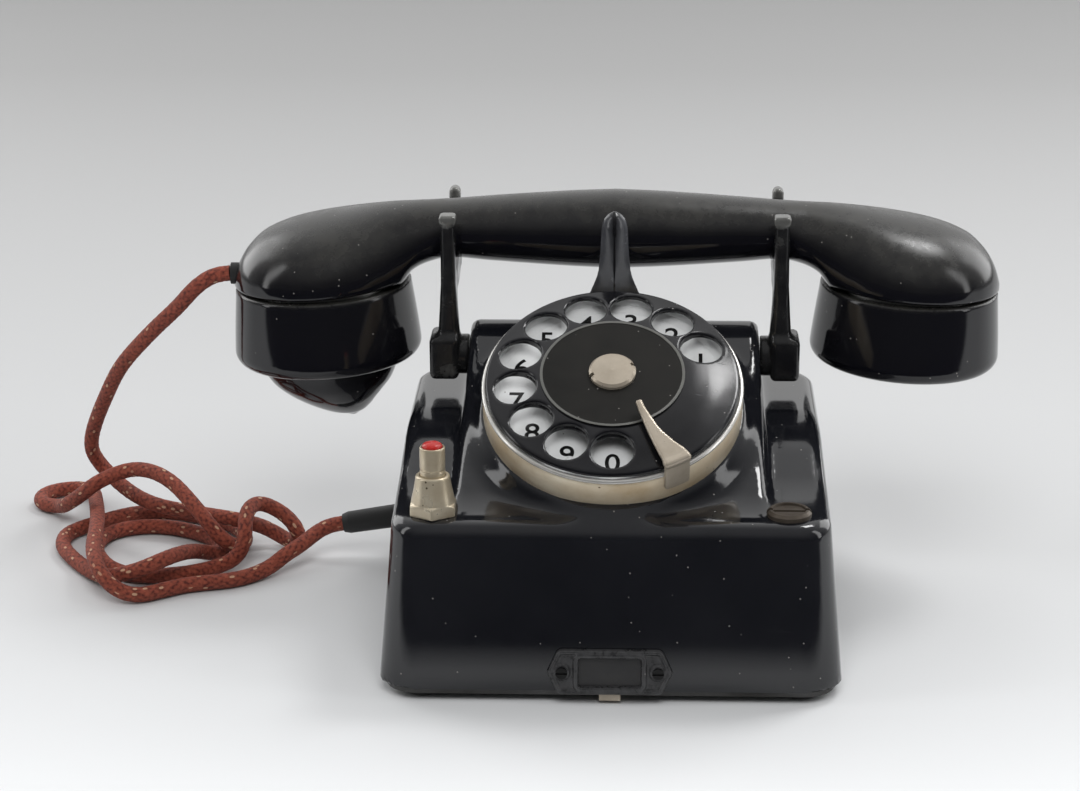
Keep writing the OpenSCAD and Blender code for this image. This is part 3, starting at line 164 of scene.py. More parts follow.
# In front of that edge the paper turns near black for glossy rays only: a painted dark reflection for the
# shining surfaces. The camera still sees pale paper there.
dark_reflection_zone = span(tree, place.outputs["Y"], dark_reflection_edge, dark_reflection_edge + 0.03, 1.0, 0.0)
painted_dark_reflection = maths(tree, "MULTIPLY", dark_reflection_zone, node(tree, "ShaderNodeLightPath").outputs["Is Glossy Ray"])
plug(tree, shader, Base_Color=mixed(tree, painted_dark_reflection, painted_falloff, (0.03, 0.03, 0.035, 1)), Roughness=0.9,
     Specular_IOR_Level=0.1)
floor_mesh.materials.append(paper)
floor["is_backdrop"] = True


def soft_light(name, at, aim, width, height, power):
    lamp = bpy.data.lights.new(name, "AREA")
    lamp.shape = "RECTANGLE"
    lamp.size = width
    lamp.size_y = height
    lamp.energy = power
    holder = bpy.data.objects.new(name, lamp)
    holder.location = at
    holder.rotation_euler = (Vector(aim) - Vector(at)).to_track_quat("-Z", "Y").to_euler()
    bpy.context.scene.collection.objects.link(holder)
    return holder


soft_light("key", (0.46, 0.33, 1.12), (0, 0, 0.05), 0.3, 0.3, 3.5)
soft_light("left_back", (-0.95, 0.70, 0.55), (0, 0, 0.06), 0.7, 0.9, 4.2)
soft_light("right_back", (0.95, 0.70, 0.55), (0, 0, 0.06), 0.7, 0.9, 4.2)
soft_light("left_side", (-1.25, -0.30, 0.6), (0, 0, 0.06), 0.25, 1.2, 2.5)
soft_light("right_side", (1.25, -0.30, 0.6), (0, 0, 0.06), 0.25, 1.2, 2.5)
fill = soft_light("front_fill", (0.05, -1.0, 1.25), (0, -0.1, 0.05), 0.8, 0.8, 11.5)
fill.visible_glossy = False

# Cord: braided cotton over its wires, red-brown with a few cream threads.
# It leaves the handset's gland, lies in loose loops on the table and enters the rubber sleeve.
cord_d = 5 * MM
cord_low = 2.7
sleeve_end = (-88.79, 46, 12.2)
cord_route = np.array([
    (-121, 34, 100.7), (-126.2, 34, 100.1), (-132.5, 35, 95.5), (-138.5, 38, 88.5), (-149.5, 45, 77),
    (-161, 55, 63), (-169, 66, 48.5), (-175.5, 76, 34.5), (-178, 81, 25.5), (-177, 84, 20),
    (-174, 84, 16), (-168, 79, 12.5), (-160.5, 71, 11), (-153, 65, 10.5), (-145, 62, 10),
    (-136.5, 58.5, 10), (-128, 54, 10.5), (-121.5, 52, 10), (-116, 56, 6.5), (-111, 56, 3.5),
    (-107, 52.5, cord_low), (-103.5, 48, 5), (-104, 47, 9), (-107.5, 50, 12.5), (-112, 50.5, 15.5),
    (-116.5, 50.5, 17.5), (-119, 46, 18), (-120, 39, 17), (-119.5, 34, 14), (-120, 32, 9.5),
    (-123, 32.5, 4.5), (-129, 30, cord_low), (-135.5, 25.5, cord_low), (-142.5, 23, cord_low),
    (-150, 22, cord_low), (-157, 23.5, cord_low), (-163.5, 29, cord_low), (-168, 37, cord_low),
    (-171, 46, cord_low), (-170.5, 55.5, cord_low), (-166.5, 62, cord_low), (-159, 65.5, cord_low),
    (-151, 65.5, cord_low), (-142.5, 62, cord_low), (-135, 56.5, cord_low), (-130, 50, cord_low),
    (-128.5, 44, cord_low), (-131.5, 40, 3.5), (-135, 33, 7), (-138, 23, 10.5),
    (-142, 16, 11.5), (-146.5, 12.5, 10.5), (-152, 11.5, 8.5), (-158, 13, 6.5), (-163.5, 18, 4),
    (-171, 28, cord_low), (-178, 38.5, cord_low), (-182.5, 48, cord_low), (-183, 58, cord_low),
    (-178.5, 64.5, cord_low), (-173.5, 70, cord_low), (-168, 75, cord_low), (-161, 79, cord_low),
    (-151.5, 79, cord_low), (-142, 76, cord_low), (-133.5, 71.5, cord_low), (-127, 65, cord_low),
    (-123, 57.5, cord_low), (-122.5, 47, 4), (-125, 38.5, 7), (-129.5, 38, 11), (-134, 40.5, 16),
    (-139.5, 46, 20), (-145, 52, 23), (-151, 57.5, 24.5), (-158, 63.5, 24), (-164, 66, 22.5),
    (-169.5, 63.5, 21), (-174, 61.5, 19), (-179, 65, 14), (-185.5, 72, 8), (-190, 82, 3.5),
    (-196, 85, cord_low), (-199, 91.5, cord_low), (-196.5, 98, cord_low), (-190, 101.5, cord_low),
    (-184, 99, 3.5), (-180.5, 92.5, 4.5), (-177.5, 81, 7), (-172.5, 58.5, 9.5), (-169.5, 40, 11),
    (-167.5, 24.5, 11.5), (-164, 11, 11), (-160, 5, 8), (-155.5, 5, 4), (-150, 5.5, cord_low),
    (-144, 9.5, cord_low), (-137, 14.5, cord_low), (-129.5, 17, cord_low), (-121.5, 19.5, cord_low),
    (-115, 25, cord_low), (-109.5, 30, 4), (-107.5, 31.5, 6), (-102, 36.5, 8), (-97.5, 43, 10),
    (-93.72, 46, 11.39), sleeve_end,
]) * MM


def smooth_line(route, steps):
    ends = np.vstack([route[:1], route, route[-1:]])
    t = np.linspace(0, 1, steps, endpoint=False)[:, None]
    stretches = []
    for a, b, c, d in zip(ends[:-3], ends[1:-2], ends[2:-1], ends[3:]):
        stretches.append(0.5 * (
            2 * b + (c - a) * t + (2 * a - 5 * b + 4 * c - d) * t ** 2 + (3 * b - a - 3 * c + d) * t ** 3))
    return np.vstack(stretches + [route[-1:]])


def even_line(line, step):
    run = np.concatenate([[0], np.cumsum(np.linalg.norm(np.diff(line, axis=0), axis=1))])
    at = np.linspace(0, run[-1], max(2, round(run[-1] / step) + 1))
    return np.stack([np.interp(at, run, line[:, k]) for k in range(3)], axis=1), at


def tube(line, radii):
    """Points, faces and a run-and-turn coordinate per face corner of a closed tube along a line."""
    sides = radii.shape[1]
    heading = np.gradient(line, axis=0)
    heading /= np.linalg.norm(heading, axis=1)[:, None]
    side = np.cross(heading, (0, 0, 1.0))
    side /= np.linalg.norm(side, axis=1)[:, None]
    over = np.cross(side, heading)
    turn = np.arange(sides) * 2 * math.pi / sides
    ring = np.cos(turn)[None, :, None] * side[:, None] + np.sin(turn)[None, :, None] * over[:, None]
    points = (line[:, None] + radii[:, :, None] * ring).reshape(-1, 3)
    i, j = np.meshgrid(np.arange(len(line) - 1), np.arange(sides), indexing="ij")
    k = (j + 1) % sides
    quads = np.stack([i * sides + j, i * sides + k, (i + 1) * sides + k, (i + 1) * sides + j], axis=-1)
    corners = np.stack([np.stack([i, j], -1), np.stack([i, j + 1], -1), np.stack([i + 1, j + 1], -1),
                        np.stack([i + 1, j], -1)], axis=-2).reshape(-1, 2).astype(float)
    faces = quads.reshape(-1, 4).tolist()
    faces.append(list(range(sides))[::-1])
    faces.append([(len(line) - 1) * sides + n for n in range(sides)])
    ends = [(0, n) for n in range(sides)] + [(len(line) - 1, n) for n in range(sides)]
    return points, faces, np.vstack([corners, np.array(ends, float)])


def piece(name, points, faces, material, crease=40, coordinates=None):
    mesh = bpy.data.meshes.new(name)
    mesh.from_pydata(np.asarray(points).tolist(), [], faces)
    if coordinates is not None:
        mesh.uv_layers.new(name="run").data.foreach_set("uv", np.asarray(coordinates).ravel())
    mesh.update()
    mesh.shade_smooth()
    mesh.set_sharp_from_angle(angle=math.radians(crease))
    mesh.materials.append(material)
    made = bpy.data.objects.new(name, mesh)
    bpy.context.scene.collection.objects.link(made)
    return made


strands = 8
strand_pitch = 3.4 * MM
ring_step = 0.75 * MM
cord_sides = 24
cord_easing = 30
braid_relief = 0.12 * MM
cord_line = even_line(smooth_line(cord_route, 12), ring_step)[0]
for _ in range(cord_easing):
    cord_line[1:-1] = 0.25 * cord_line[:-2] + 0.5 * cord_line[1:-1] + 0.25 * cord_line[2:]
cord_line, cord_run = even_line(cord_line, ring_step)
around = np.arange(cord_sides)[None] / cord_sides * strands
along = cord_run[:, None] / strand_pitch
leaning, crossing = around + along, around - along
over_strand = (np.floor(leaning) + np.floor(crossing)) % 2 < 1
swell = np.where(over_strand, np.sin(math.pi * (leaning % 1)), np.sin(math.pi * (crossing % 1)))
points, faces, corners = tube(cord_line, cord_d / 2 - braid_relief + braid_relief * swell)
corners = corners * (ring_step / strand_pitch, strands / cord_sides)

braid, tree, shader = new_material("braid")
weave = node(tree, "ShaderNodeSeparateXYZ", {0: node(tree, "ShaderNodeUVMap", uv_map="run").outputs[0]})
leaning = maths(tree, "ADD", weave.outputs["X"], weave.outputs["Y"])
crossing = maths(tree, "SUBTRACT", weave.outputs["X"], weave.outputs["Y"])
first_thread = maths(tree, "PINGPONG", leaning, 0.5)
second_thread = maths(tree, "PINGPONG", crossing, 0.5)
crossings = maths(tree, "MULTIPLY", first_thread, second_thread)
strand_cell = node(tree, "ShaderNodeCombineXYZ", {
    0: maths(tree, "FLOOR", leaning, 0), 1: maths(tree, "FLOOR", crossing, 0)})
lot = node(tree, "ShaderNodeTexWhiteNoise", {"Vector": strand_cell.outputs[0]}, noise_dimensions="3D")
spot = node(tree, "ShaderNodeTexCoord").outputs["Object"]
fuzz = node(tree, "ShaderNodeTexNoise", {"Scale": 900.0, "Detail": 4.0, "Vector": spot})
# The colour is darkest in the gaps between strands: painted shade in the braid's crevices. The fuzz and the
# few cream threads are the cord's own colours.
threads_and_crevice_shade = mixed(tree, span(tree, crossings, 0.0, 0.16), (0.065, 0.012, 0.008, 1), (0.22, 0.045, 0.028, 1))
threads_and_crevice_shade = mixed(tree, span(tree, fuzz.outputs[0], 0.35, 0.7), threads_and_crevice_shade, (0.30, 0.078, 0.048, 1))
picked = span(tree, lot.outputs["Value"], 0.93, 0.94)
cream = maths(tree, "MULTIPLY", picked, span(tree, crossings, 0.06, 0.1))
threads_and_crevice_shade = mixed(tree, cream, threads_and_crevice_shade, (0.46, 0.28, 0.18, 1))
bump = node(tree, "ShaderNodeBump", {"Strength": 0.6, "Distance": 0.0003, "Height": crossings})
plug(tree, shader, Base_Color=threads_and_crevice_shade, Roughness=span(tree, fuzz.outputs[0], 0.3, 0.7, 0.75, 0.95),
     Normal=bump.outputs[0])

cord = piece("cord_braid", points, faces, braid, 60, corners)
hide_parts("cord")
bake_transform(cord)

# Casing: one pressed steel shell, stove-enamelled black, with a ledge, two shoulders, a tower
# and a round collar under the dial, all run together with soft fillets. It screws to the base.
grain_depth = 0.00002
age = bpy.data.node_groups.new("age", "ShaderNodeTree")
age.interface.new_socket("Speck Size", in_out="INPUT", socket_type="NodeSocketFloat").default_value = 300.0
age.interface.new_socket("Speck Share", in_out="INPUT", socket_type="NodeSocketFloat").default_value = 0.1
age.interface.new_socket("Haze Size", in_out="INPUT", socket_type="NodeSocketFloat").default_value = 30.0
for wanted in ("Specks", "Haze", "Scratches", "Grain"):
    age.interface.new_socket(wanted, in_out="OUTPUT", socket_type="NodeSocketFloat")
given = node(age, "NodeGroupInput").outputs
spot = node(age, "ShaderNodeTexCoord").outputs["Object"]
cells = node(age, "ShaderNodeTexVoronoi", {"Vector": spot, "Scale": given["Speck Size"], "Randomness": 1.0})
lot = node(age, "ShaderNodeTexWhiteNoise", {"Vector": cells.outputs["Position"]}, noise_dimensions="3D")
chosen = maths(age, "LESS_THAN", lot.outputs["Value"], given["Speck Share"])
speck_r = span(age, lot.outputs["Value"], 0.0, 0.1, 0.3, 0.12)
dot = maths(age, "LESS_THAN", cells.outputs["Distance"], speck_r)
haze = node(age, "ShaderNodeTexNoise", {
    "Vector": spot, "Scale": given["Haze Size"], "Detail": 6.0, "Roughness": 0.6})
streaks = node(age, "ShaderNodeMapping", {
    "Vector": spot, "Rotation": (0.5, 0.3, 0.7), "Scale": (40.0, 900.0, 500.0)})
lines = node(age, "ShaderNodeTexNoise", {"Vector": streaks.outputs[0], "Scale": 1.0, "Detail": 2.0})
grain = node(age, "ShaderNodeTexNoise", {"Vector": spot, "Scale": 1500.0, "Detail": 3.0})
node(age, "NodeGroupOutput", {
    "Specks": maths(age, "MULTIPLY", chosen, dot), "Haze": span(age, haze.outputs[0], 0.3, 0.7),
    "Scratches": span(age, lines.outputs[0], 0.70, 0.74), "Grain": grain.outputs[0]})


def aged_finish(name, colour, hazed, rough, rough_hazed, specks=(1300.0, 0.004),
                speck_colour=(0.2, 0.19, 0.18, 1), haze_size=30.0, metal=0.0, coat=0.0, scratched=0.0,
                shine=0.5):
    """A finish that drifts between two colours and two glosses, with dust specks and fine scratches."""
    material, tree, shader = new_material(name)
    speck_size, speck_share = specks
    worn = node(tree, "ShaderNodeGroup", {
        "Speck Size": speck_size, "Speck Share": speck_share, "Haze Size": haze_size}, node_tree=age)
    paint = mixed(tree, worn.outputs["Haze"], colour, hazed)
    paint = mixed(tree, worn.outputs["Specks"], paint, speck_colour)
    gloss = span(tree, worn.outputs["Haze"], 0.0, 1.0, rough, rough_hazed)
    marks = maths(tree, "MULTIPLY", worn.outputs["Scratches"], scratched)
    dulled = maths(tree, "ADD", marks, maths(tree, "MULTIPLY", worn.outputs["Specks"], 0.4))
    gloss = maths(tree, "ADD", gloss, dulled)
    bump = node(tree, "ShaderNodeBump", {
        "Strength": 0.25, "Distance": grain_depth, "Height": worn.outputs["Grain"]})
    plug(tree, shader, Base_Color=paint, Roughness=gloss, Metallic=metal, Specular_IOR_Level=shine,
         Coat_Weight=coat, Coat_Roughness=0.06, Normal=bump.outputs[0])
    return material


def both(a, b, r):
    """The distance to what two solids share, with its edge rounded to r."""
    return np.minimum(np.maximum(a, b), -r) + np.hypot(np.maximum(a + r, 0), np.maximum(b + r, 0))


def either(a, b, r):
    """The distance to two solids together, with a fillet of r where they meet."""
    return np.maximum(np.minimum(a, b), r) - np.hypot(np.maximum(r - a, 0), np.maximum(r - b, 0))


def skin(solid, low, high, cell):
    """Points and quads over a solid given by its distance, one point to each cell that it crosses."""
    axes = [np.arange(a - cell, b + 2 * cell, cell) for a, b in zip(low, high)]
    grid = np.stack(np.meshgrid(*axes, indexing="ij"), axis=-1)
    value = solid(grid[..., 0], grid[..., 1], grid[..., 2])
    size = np.array(value.shape) - 1
    total = np.zeros(tuple(size) + (3,))
    count = np.zeros(tuple(size))
    steps = [np.array(s) for s in ((1, 0, 0), (0, 1, 0), (0, 0, 1))]
    quads = []
    crossing_edges = []
    for k, step in enumerate(steps):
        stop = np.array(value.shape) - step
        a = value[:stop[0], :stop[1], :stop[2]]
        b = value[step[0]:, step[1]:, step[2]:]
        cut = np.argwhere((a < 0) != (b < 0))
        va, vb = a[tuple(cut.T)], b[tuple(cut.T)]
        at = cut + (va / (va - vb))[:, None] * step
        crossing_edges.append((k, cut, va < 0))
        u, v = steps[(k + 1) % 3], steps[(k + 2) % 3]
        for back in (0 * u, u, v, u + v):
            cells_near = cut - back
            fits = np.all((cells_near >= 0) & (cells_near < size), axis=1)
            np.add.at(total, tuple(cells_near[fits].T), at[fits])
            np.add.at(count, tuple(cells_near[fits].T), 1)
    number = -np.ones(tuple(size), int)
    full = count > 0
    number[full] = np.arange(full.sum())
    points = np.array([a[0] for a in axes]) + total[full] / count[full][:, None] * cell
    for k, cut, leaving in crossing_edges:
        u, v = steps[(k + 1) % 3], steps[(k + 2) % 3]
        ring = np.stack([number[tuple((cut - back).T)] for back in (u + v, v, 0 * u, u)], axis=1)
        ring[~leaving] = ring[~leaving][:, ::-1]
        quads.append(ring)
    nudge = cell / 20
    for _ in range(4):
        change = [solid(*(points + nudge * s).T) - solid(*(points - nudge * s).T) for s in steps]
        slope = np.stack(change, axis=1) / (2 * nudge)
        away = solid(*points.T)
        pull = away[:, None] * slope / np.maximum((slope ** 2).sum(axis=1), 0.2)[:, None]
        points = points - np.clip(pull, -cell / 2, cell / 2)
    return points, np.vstack(quads).tolist()


casing_low, casing_high = (np.array(corner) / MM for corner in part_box("casing"))
skirt_z = casing_low[2]
skirt_flare = 1.6
casing_half_w, casing_half_d = casing_high[0] + skirt_flare, -casing_low[1]
ledge_z, shoulder_z, ridge_z = 54, 68, 90
side_draft, front_lean, rear_lean = 0.087, 0.07, 0.34
ridge_y, ridge_back_y = 16, 25
wall_corner, top_edge, collar_fillet = 11, 4.5, 9
tower_half, tower_draft = 44.3, 0.0375
shoulder_edge_y, shoulder_lean = -11.3, 2.44
dial_tilt = math.radians(28)
dial_up = np.array((0, math.cos(dial_tilt), math.sin(dial_tilt)))
dial_axis = np.array((0, -math.sin(dial_tilt), math.cos(dial_tilt)))
dial_foot = np.array((0, -20.978, 74.982))
collar_r = 38.5


def leaning_plane(across, height, at_foot, lean):
    return (across - at_foot + lean * (height - skirt_z)) / math.hypot(1, lean)


def casing_form(x, y, z):
    sides = leaning_plane(np.abs(x), z, casing_half_w, side_draft)
    front = leaning_plane(-y, z, casing_half_d, front_lean)
    rear = leaning_plane(y, z, casing_half_d, rear_lean)
    walls = both(both(sides, front, wall_corner), both(sides, rear, wall_corner), 1)
    slope = (shoulder_edge_y - y + (z - shoulder_z) * shoulder_lean) / math.hypot(1, shoulder_lean)
    shoulders = both(slope, z - shoulder_z, 5)
    tower_sides = np.abs(x) - tower_half - tower_draft * (ridge_z - z)
    face = (z - ridge_z) * math.cos(dial_tilt) - (y - ridge_y) * math.sin(dial_tilt)
    back_foot_z = ledge_z - 4
    back_foot_y = casing_half_d - rear_lean * (back_foot_z - skirt_z)
    back_lean = (back_foot_y - ridge_back_y) / (ridge_z - back_foot_z)
    back = (y - ridge_back_y - (ridge_z - z) * back_lean) / math.hypot(1, back_lean)
    tower = both(both(tower_sides, both(face, z - ridge_z, 2.5), 2.8), back, 4)
    lift = (y - dial_foot[1]) * dial_axis[1] + (z - dial_foot[2]) * dial_axis[2]
    climb = (y - dial_foot[1]) * dial_up[1] + (z - dial_foot[2]) * dial_up[2]
    collar = both(both(np.hypot(x, climb) - collar_r, lift, 0.6), y - ridge_y - 2, 1)
    top = either(either(either(z - ledge_z, shoulders, 5), tower, 3), collar, collar_fillet)
    return both(both(top, walls, top_edge), skirt_z - z, 0.4)


points, faces = skin(casing_form, casing_low - (skirt_flare, 0, 0), casing_high + (skirt_flare, 0, 0), 1.3)
enamel = aged_finish("black_enamel", (0.005, 0.0055, 0.0075, 1), (0.009, 0.0095, 0.012, 1), 0.07, 0.13,
                     specks=(1300.0, 0.006), coat=0.3, scratched=0.12)
casing = piece("casing_shell", points * MM, faces, enamel, 50)
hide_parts("casing")
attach(casing, "body")

# Base: a plain steel plate under the skirt, on four rubber feet, held by four screws
# that go up into the posts of the casing. It carries the ringer and the other inner pieces.


def dress(material, *nodes):
    for name in nodes:
        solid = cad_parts[name]
        solid.data.materials.clear()
        solid.data.materials.append(material)


plate_steel = aged_finish("plate_steel", (0.10, 0.10, 0.10, 1), (0.05, 0.048, 0.045, 1), 0.35, 0.6, metal=1.0)
rubber = aged_finish("rubber", (0.010, 0.010, 0.010, 1), (0.022, 0.022, 0.022, 1), 0.5, 0.75, haze_size=120.0)
screw_steel = aged_finish("screw_steel", (0.42, 0.41, 0.38, 1), (0.25, 0.23, 0.2, 1), 0.3, 0.55,
                          metal=1.0, haze_size=200.0)
dress(plate_steel, "base_plate")
dress(rubber, "rubber_feet", "line_grommet", "cord_sleeve", "cord_gland")
dress(screw_steel, "base_screws", "horn_screws", "dial_screws", "button_nut", "plug_nut", "gong_screws",
      "dial_spindle")

# Ringer, coils and capacitor: stock fittings of brass, steel and wound wire,
# screwed to the base plate inside the casing with the dial's own clockwork above them.
brass = aged_finish("brass", (0.55, 0.42, 0.2, 1), (0.38, 0.27, 0.13, 1), 0.25, 0.45,
                    metal=1.0, haze_size=150.0)
gong_metal = aged_finish("gong_metal", (0.5, 0.45, 0.34, 1), (0.36, 0.31, 0.22, 1), 0.2, 0.4, metal=1.0)
spring_steel = aged_finish("spring_steel", (0.38, 0.39, 0.41, 1), (0.24, 0.24, 0.26, 1), 0.25, 0.4, metal=1.0)
insulator = aged_finish("insulator", (0.12, 0.05, 0.025, 1), (0.07, 0.03, 0.016, 1), 0.4, 0.6)
winding = aged_finish("winding", (0.2, 0.07, 0.03, 1), (0.12, 0.045, 0.02, 1), 0.35, 0.55, haze_size=400.0)
can_grey = aged_finish("capacitor_can", (0.3, 0.3, 0.28, 1), (0.22, 0.21, 0.2, 1), 0.35, 0.5)
alloy = aged_finish("capsule_alloy", (0.4, 0.4, 0.39, 1), (0.3, 0.3, 0.29, 1), 0.3, 0.5, metal=1.0)
dress(plate_steel, "ringer_frame", "cradle_bracket", "cradle_yoke", "dial_mechanism_plate",
      "mechanism_bridge")
dress(brass, "main_gear", "pulse_wheel", "governor", "governor_cup", "clapper")
dress(gong_metal, "gongs")
dress(spring_steel, "return_spring", "cradle_springs", "button_spring")
dress(insulator, "pulse_contacts", "hook_switch", "button_contacts", "terminal_block")
dress(winding, "ringer_coils", "induction_coil")
dress(can_grey, "capacitor")
dress(alloy, "receiver_capsule", "transmitter_capsule")

# Dial: a nickelled brass cup on the collar, worn to beige and stained brown, with a bead round its rim.
# A white enamelled plate lies in it with black numbers under the finger holes, all of them upright.
nickel_brass = aged_finish("nickel_brass", (0.70, 0.63, 0.50, 1), (0.43, 0.32, 0.19, 1), 0.28, 0.45,
                           metal=0.2, haze_size=45.0, specks=(900.0, 0.01),
                           speck_colour=(0.12, 0.08, 0.04, 1))
case_r, case_h, case_wall = 38.5, 11, 1.2
case_outline = (
    (9, 0), (case_r - 0.4, 0), (case_r, 0.4), (case_r, case_h - 1.6), (case_r - 0.15, case_h - 1.3),
    (case_r, case_h - 1.0), (case_r, case_h - 0.5), (case_r - 0.2, case_h - 0.12), (case_r - 0.6, case_h),
    (case_r - 1.0, case_h - 0.12), (case_r - case_wall, case_h - 0.5), (case_r - case_wall, case_wall),
    (9, case_wall))


def lathe(outline, sides=192):
    """Points and quads of a ring turned from a closed outline of radius and height."""
    outline = np.array(outline, float)
    turn = np.arange(sides) * 2 * math.pi / sides
    r, h = outline[:, :1], np.repeat(outline[:, 1:], sides, axis=1)
    points = np.stack([r * np.cos(turn), r * np.sin(turn), h], axis=-1)
    i, j = np.meshgrid(np.arange(len(outline)), np.arange(sides), indexing="ij")
    after, k = (i + 1) % len(outline), (j + 1) % sides
    quads = np.stack([i * sides + j, i * sides + k, after * sides + k, after * sides + j], axis=-1)
    return points.reshape(-1, 3), quads.reshape(-1, 4).tolist()


def on_dial(points):
    points = np.asarray(points)
    return dial_foot + points[:, :1] * (1, 0, 0) + points[:, 1:2] * dial_up + points[:, 2:] * dial_axis


points, faces = lathe(case_outline)
cup = piece("dial_cup", on_dial(points) * MM, faces, nickel_brass, 50)
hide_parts("dial_case")
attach(cup, "body")
bright_nickel = aged_finish("bright_nickel", (0.80, 0.79, 0.76, 1), (0.66, 0.64, 0.60, 1), 0.18, 0.3,
                            metal=0.7, haze_size=120.0)
bead_r = 0.75
bead_turns = np.arange(16) * math.pi / 8
bead_outline = np.stack([
    case_r - 0.6 + bead_r * np.cos(bead_turns), case_h - 0.55 + bead_r * np.sin(bead_turns)], axis=1)
points, faces = lathe(bead_outline)
bead = piece("dial_bead", on_dial(points) * MM, faces, bright_nickel, 60)
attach(bead, "body")
white_enamel = aged_finish("white_enamel", (0.84, 0.85, 0.85, 1), (0.74, 0.75, 0.75, 1), 0.15, 0.25,
                           haze_size=60.0)
dress(white_enamel, "number_plate")

hole_circle_r, hole_r = 28.8, 6.3
first_hole, hole_pitch = math.radians(25), math.radians(27.3)
hole_angles = first_hole + hole_pitch * np.arange(10)
hole_places = hole_circle_r * np.stack([np.cos(hole_angles), np.sin(hole_angles)], axis=1)
number_plate_top = 7
number_height = 6.8
number_lift = 0.9
ink_t = 0.04
type_size = 1.4 * number_height
ink, tree, shader = new_material("number_ink")
spot = node(tree, "ShaderNodeTexCoord").outputs["Object"]
soft_ink = node(tree, "ShaderNodeTexNoise", {"Scale": 700.0, "Detail": 3.0, "Vector": spot}).outputs[0]
plug(tree, shader, Base_Color=mixed(tree, soft_ink, (0.004, 0.004, 0.004, 1), (0.02, 0.02, 0.02, 1)),
     Roughness=span(tree, soft_ink, 0.3, 0.7, 0.15, 0.3))
points, faces = [], []
for digit, (x, y) in zip("1234567890", hole_places):
    letter = bpy.data.curves.new("number", "FONT")
    letter.body = digit
    letter.size = type_size
    letter.align_x, letter.align_y = "CENTER", "CENTER"
    letter.extrude = ink_t
    letter.offset = 0.1
    drawn = bpy.data.objects.new("number", letter)
    bpy.context.scene.collection.objects.link(drawn)
    bpy.context.view_layer.update()
    shape = drawn.evaluated_get(bpy.context.evaluated_depsgraph_get()).to_mesh()
    faces += [[len(points) + k for k in face.vertices] for face in shape.polygons]
    points += [(x + v.co.x, y + v.co.y + number_lift, number_plate_top + v.co.z + ink_t)
               for v in shape.vertices]
    bpy.data.objects.remove(drawn)
    bpy.data.curves.remove(letter)
numbers = piece("dial_numbers", on_dial(points) * MM, faces, ink, 30)
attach(numbers, "body")

# Finger wheel: a pressed disc, dished and black, with ten finger holes whose edges are rounded.
# It turns with the dull centre disc, the thin ring round that and the nickelled centre nut.
wheel_r, wheel_t = 37.5, 1.8
hole_wall, hole_low, hole_high = 0.8, 11.9, 13.2
spindle_gap = 3.0
wheel_rise = ((0, 14.6), (20, 14.6), (22.5, 14.45), (28, 13.75), (33, 12.85), (36, 12.4), (38.5, 12.1))


def through(x, knots):
    """A smooth curve through knots, flat where they turn back."""
    kx, ky = np.array(knots, float).T
    step = np.diff(kx)
    grade = np.diff(ky) / step
    product = grade[:-1] * grade[1:]
    inner = np.where(product > 0, 2 * product / np.where(product > 0, grade[:-1] + grade[1:], 1), 0)
    lean = np.concatenate([grade[:1], inner, grade[-1:]])
    k = np.clip(np.searchsorted(kx, x) - 1, 0, len(step) - 1)
    t = (x - kx[k]) / step[k]
    return (ky[k] * (1 + 2 * t) * (1 - t) ** 2 + step[k] * lean[k] * t * (1 - t) ** 2
            + ky[k + 1] * t ** 2 * (3 - 2 * t) + step[k] * lean[k + 1] * t ** 2 * (t - 1))


def wheel_form(x, y, h):
    r = np.hypot(x, y)
    sheet = np.abs(h - through(np.minimum(r, 38.4), wheel_rise)) - wheel_t / 2
    form = both(sheet, r - wheel_r, 0.85)
    for hx, hy in hole_places:
        hole = np.hypot(x - hx, y - hy) - hole_r
        collar = both(both(hole - hole_wall, h - hole_high, 0.1), hole_low - h, 0.3)
        form = both(either(form, collar, 0.5), -hole, 0.6)
    return both(form, spindle_gap - r, 0.2)


points, faces = skin(wheel_form, (-wheel_r, -wheel_r, 10.6), (wheel_r, wheel_r, 15.8), 0.5)
wheel_black = aged_finish("wheel_black", (0.004, 0.004, 0.005, 1), (0.007, 0.007, 0.009, 1), 0.10, 0.2,
                          specks=(1300.0, 0.006), scratched=0.2, haze_size=60.0)
wheel = piece("finger_wheel_disc", on_dial(points) * MM, faces, wheel_black, 50)
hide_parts("finger_wheel")
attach(wheel, "dial")

disc_black = aged_finish("disc_black", (0.007, 0.0067, 0.006, 1), (0.014, 0.0132, 0.0115, 1), 0.38, 0.55,
                         specks=(1300.0, 0.01), haze_size=70.0, shine=0.15)
ring_grey = aged_finish("ring_grey", (0.22, 0.22, 0.21, 1), (0.13, 0.13, 0.12, 1), 0.35, 0.5, metal=1.0)
nickel = aged_finish("nickel", (0.49, 0.43, 0.35, 1), (0.35, 0.30, 0.235, 1), 0.25, 0.42,
                     metal=0.5, haze_size=90.0)
dress(disc_black, "centre_disc")
dress(ring_grey, "disc_ring")
dress(nickel, "front_catch", "centre_cap")

# Finger stop: a tapered blade of nickelled sheet over the wheel, bent down to a foot
# that is screwed to the outside of the cup between the last hole and the first.
stop_angle = math.radians(-61)
stop_t, stop_half_w, stop_z, stop_foot_z = 1.4, 4, 15.2, 5.5
stop_r = case_r + stop_t
stop_reach, stop_rise = 23.9, math.tan(math.radians(7.4))
stop_near = (
    (-30, -1.0), (-24.9, -1.0), (-20, -1.8), (-14, -2.8), (-7, -3.6), (0, -stop_half_w), (3, -stop_half_w))
stop_far = (
    (-30, 0.9), (-24.9, 0.9), (-20, 0.5), (-14, 0.6), (-7, 2.2), (-2, stop_half_w), (3, stop_half_w))


def box(low, high, r, *places):
    """The distance to an upright box with rounded edges, of as many directions as it has places."""
    form = None
    for a, b, place in zip(low, high, places):
        walls = np.abs(place - (a + b) / 2) - (b - a) / 2
        form = walls if form is None else both(form, walls, r)
    return form


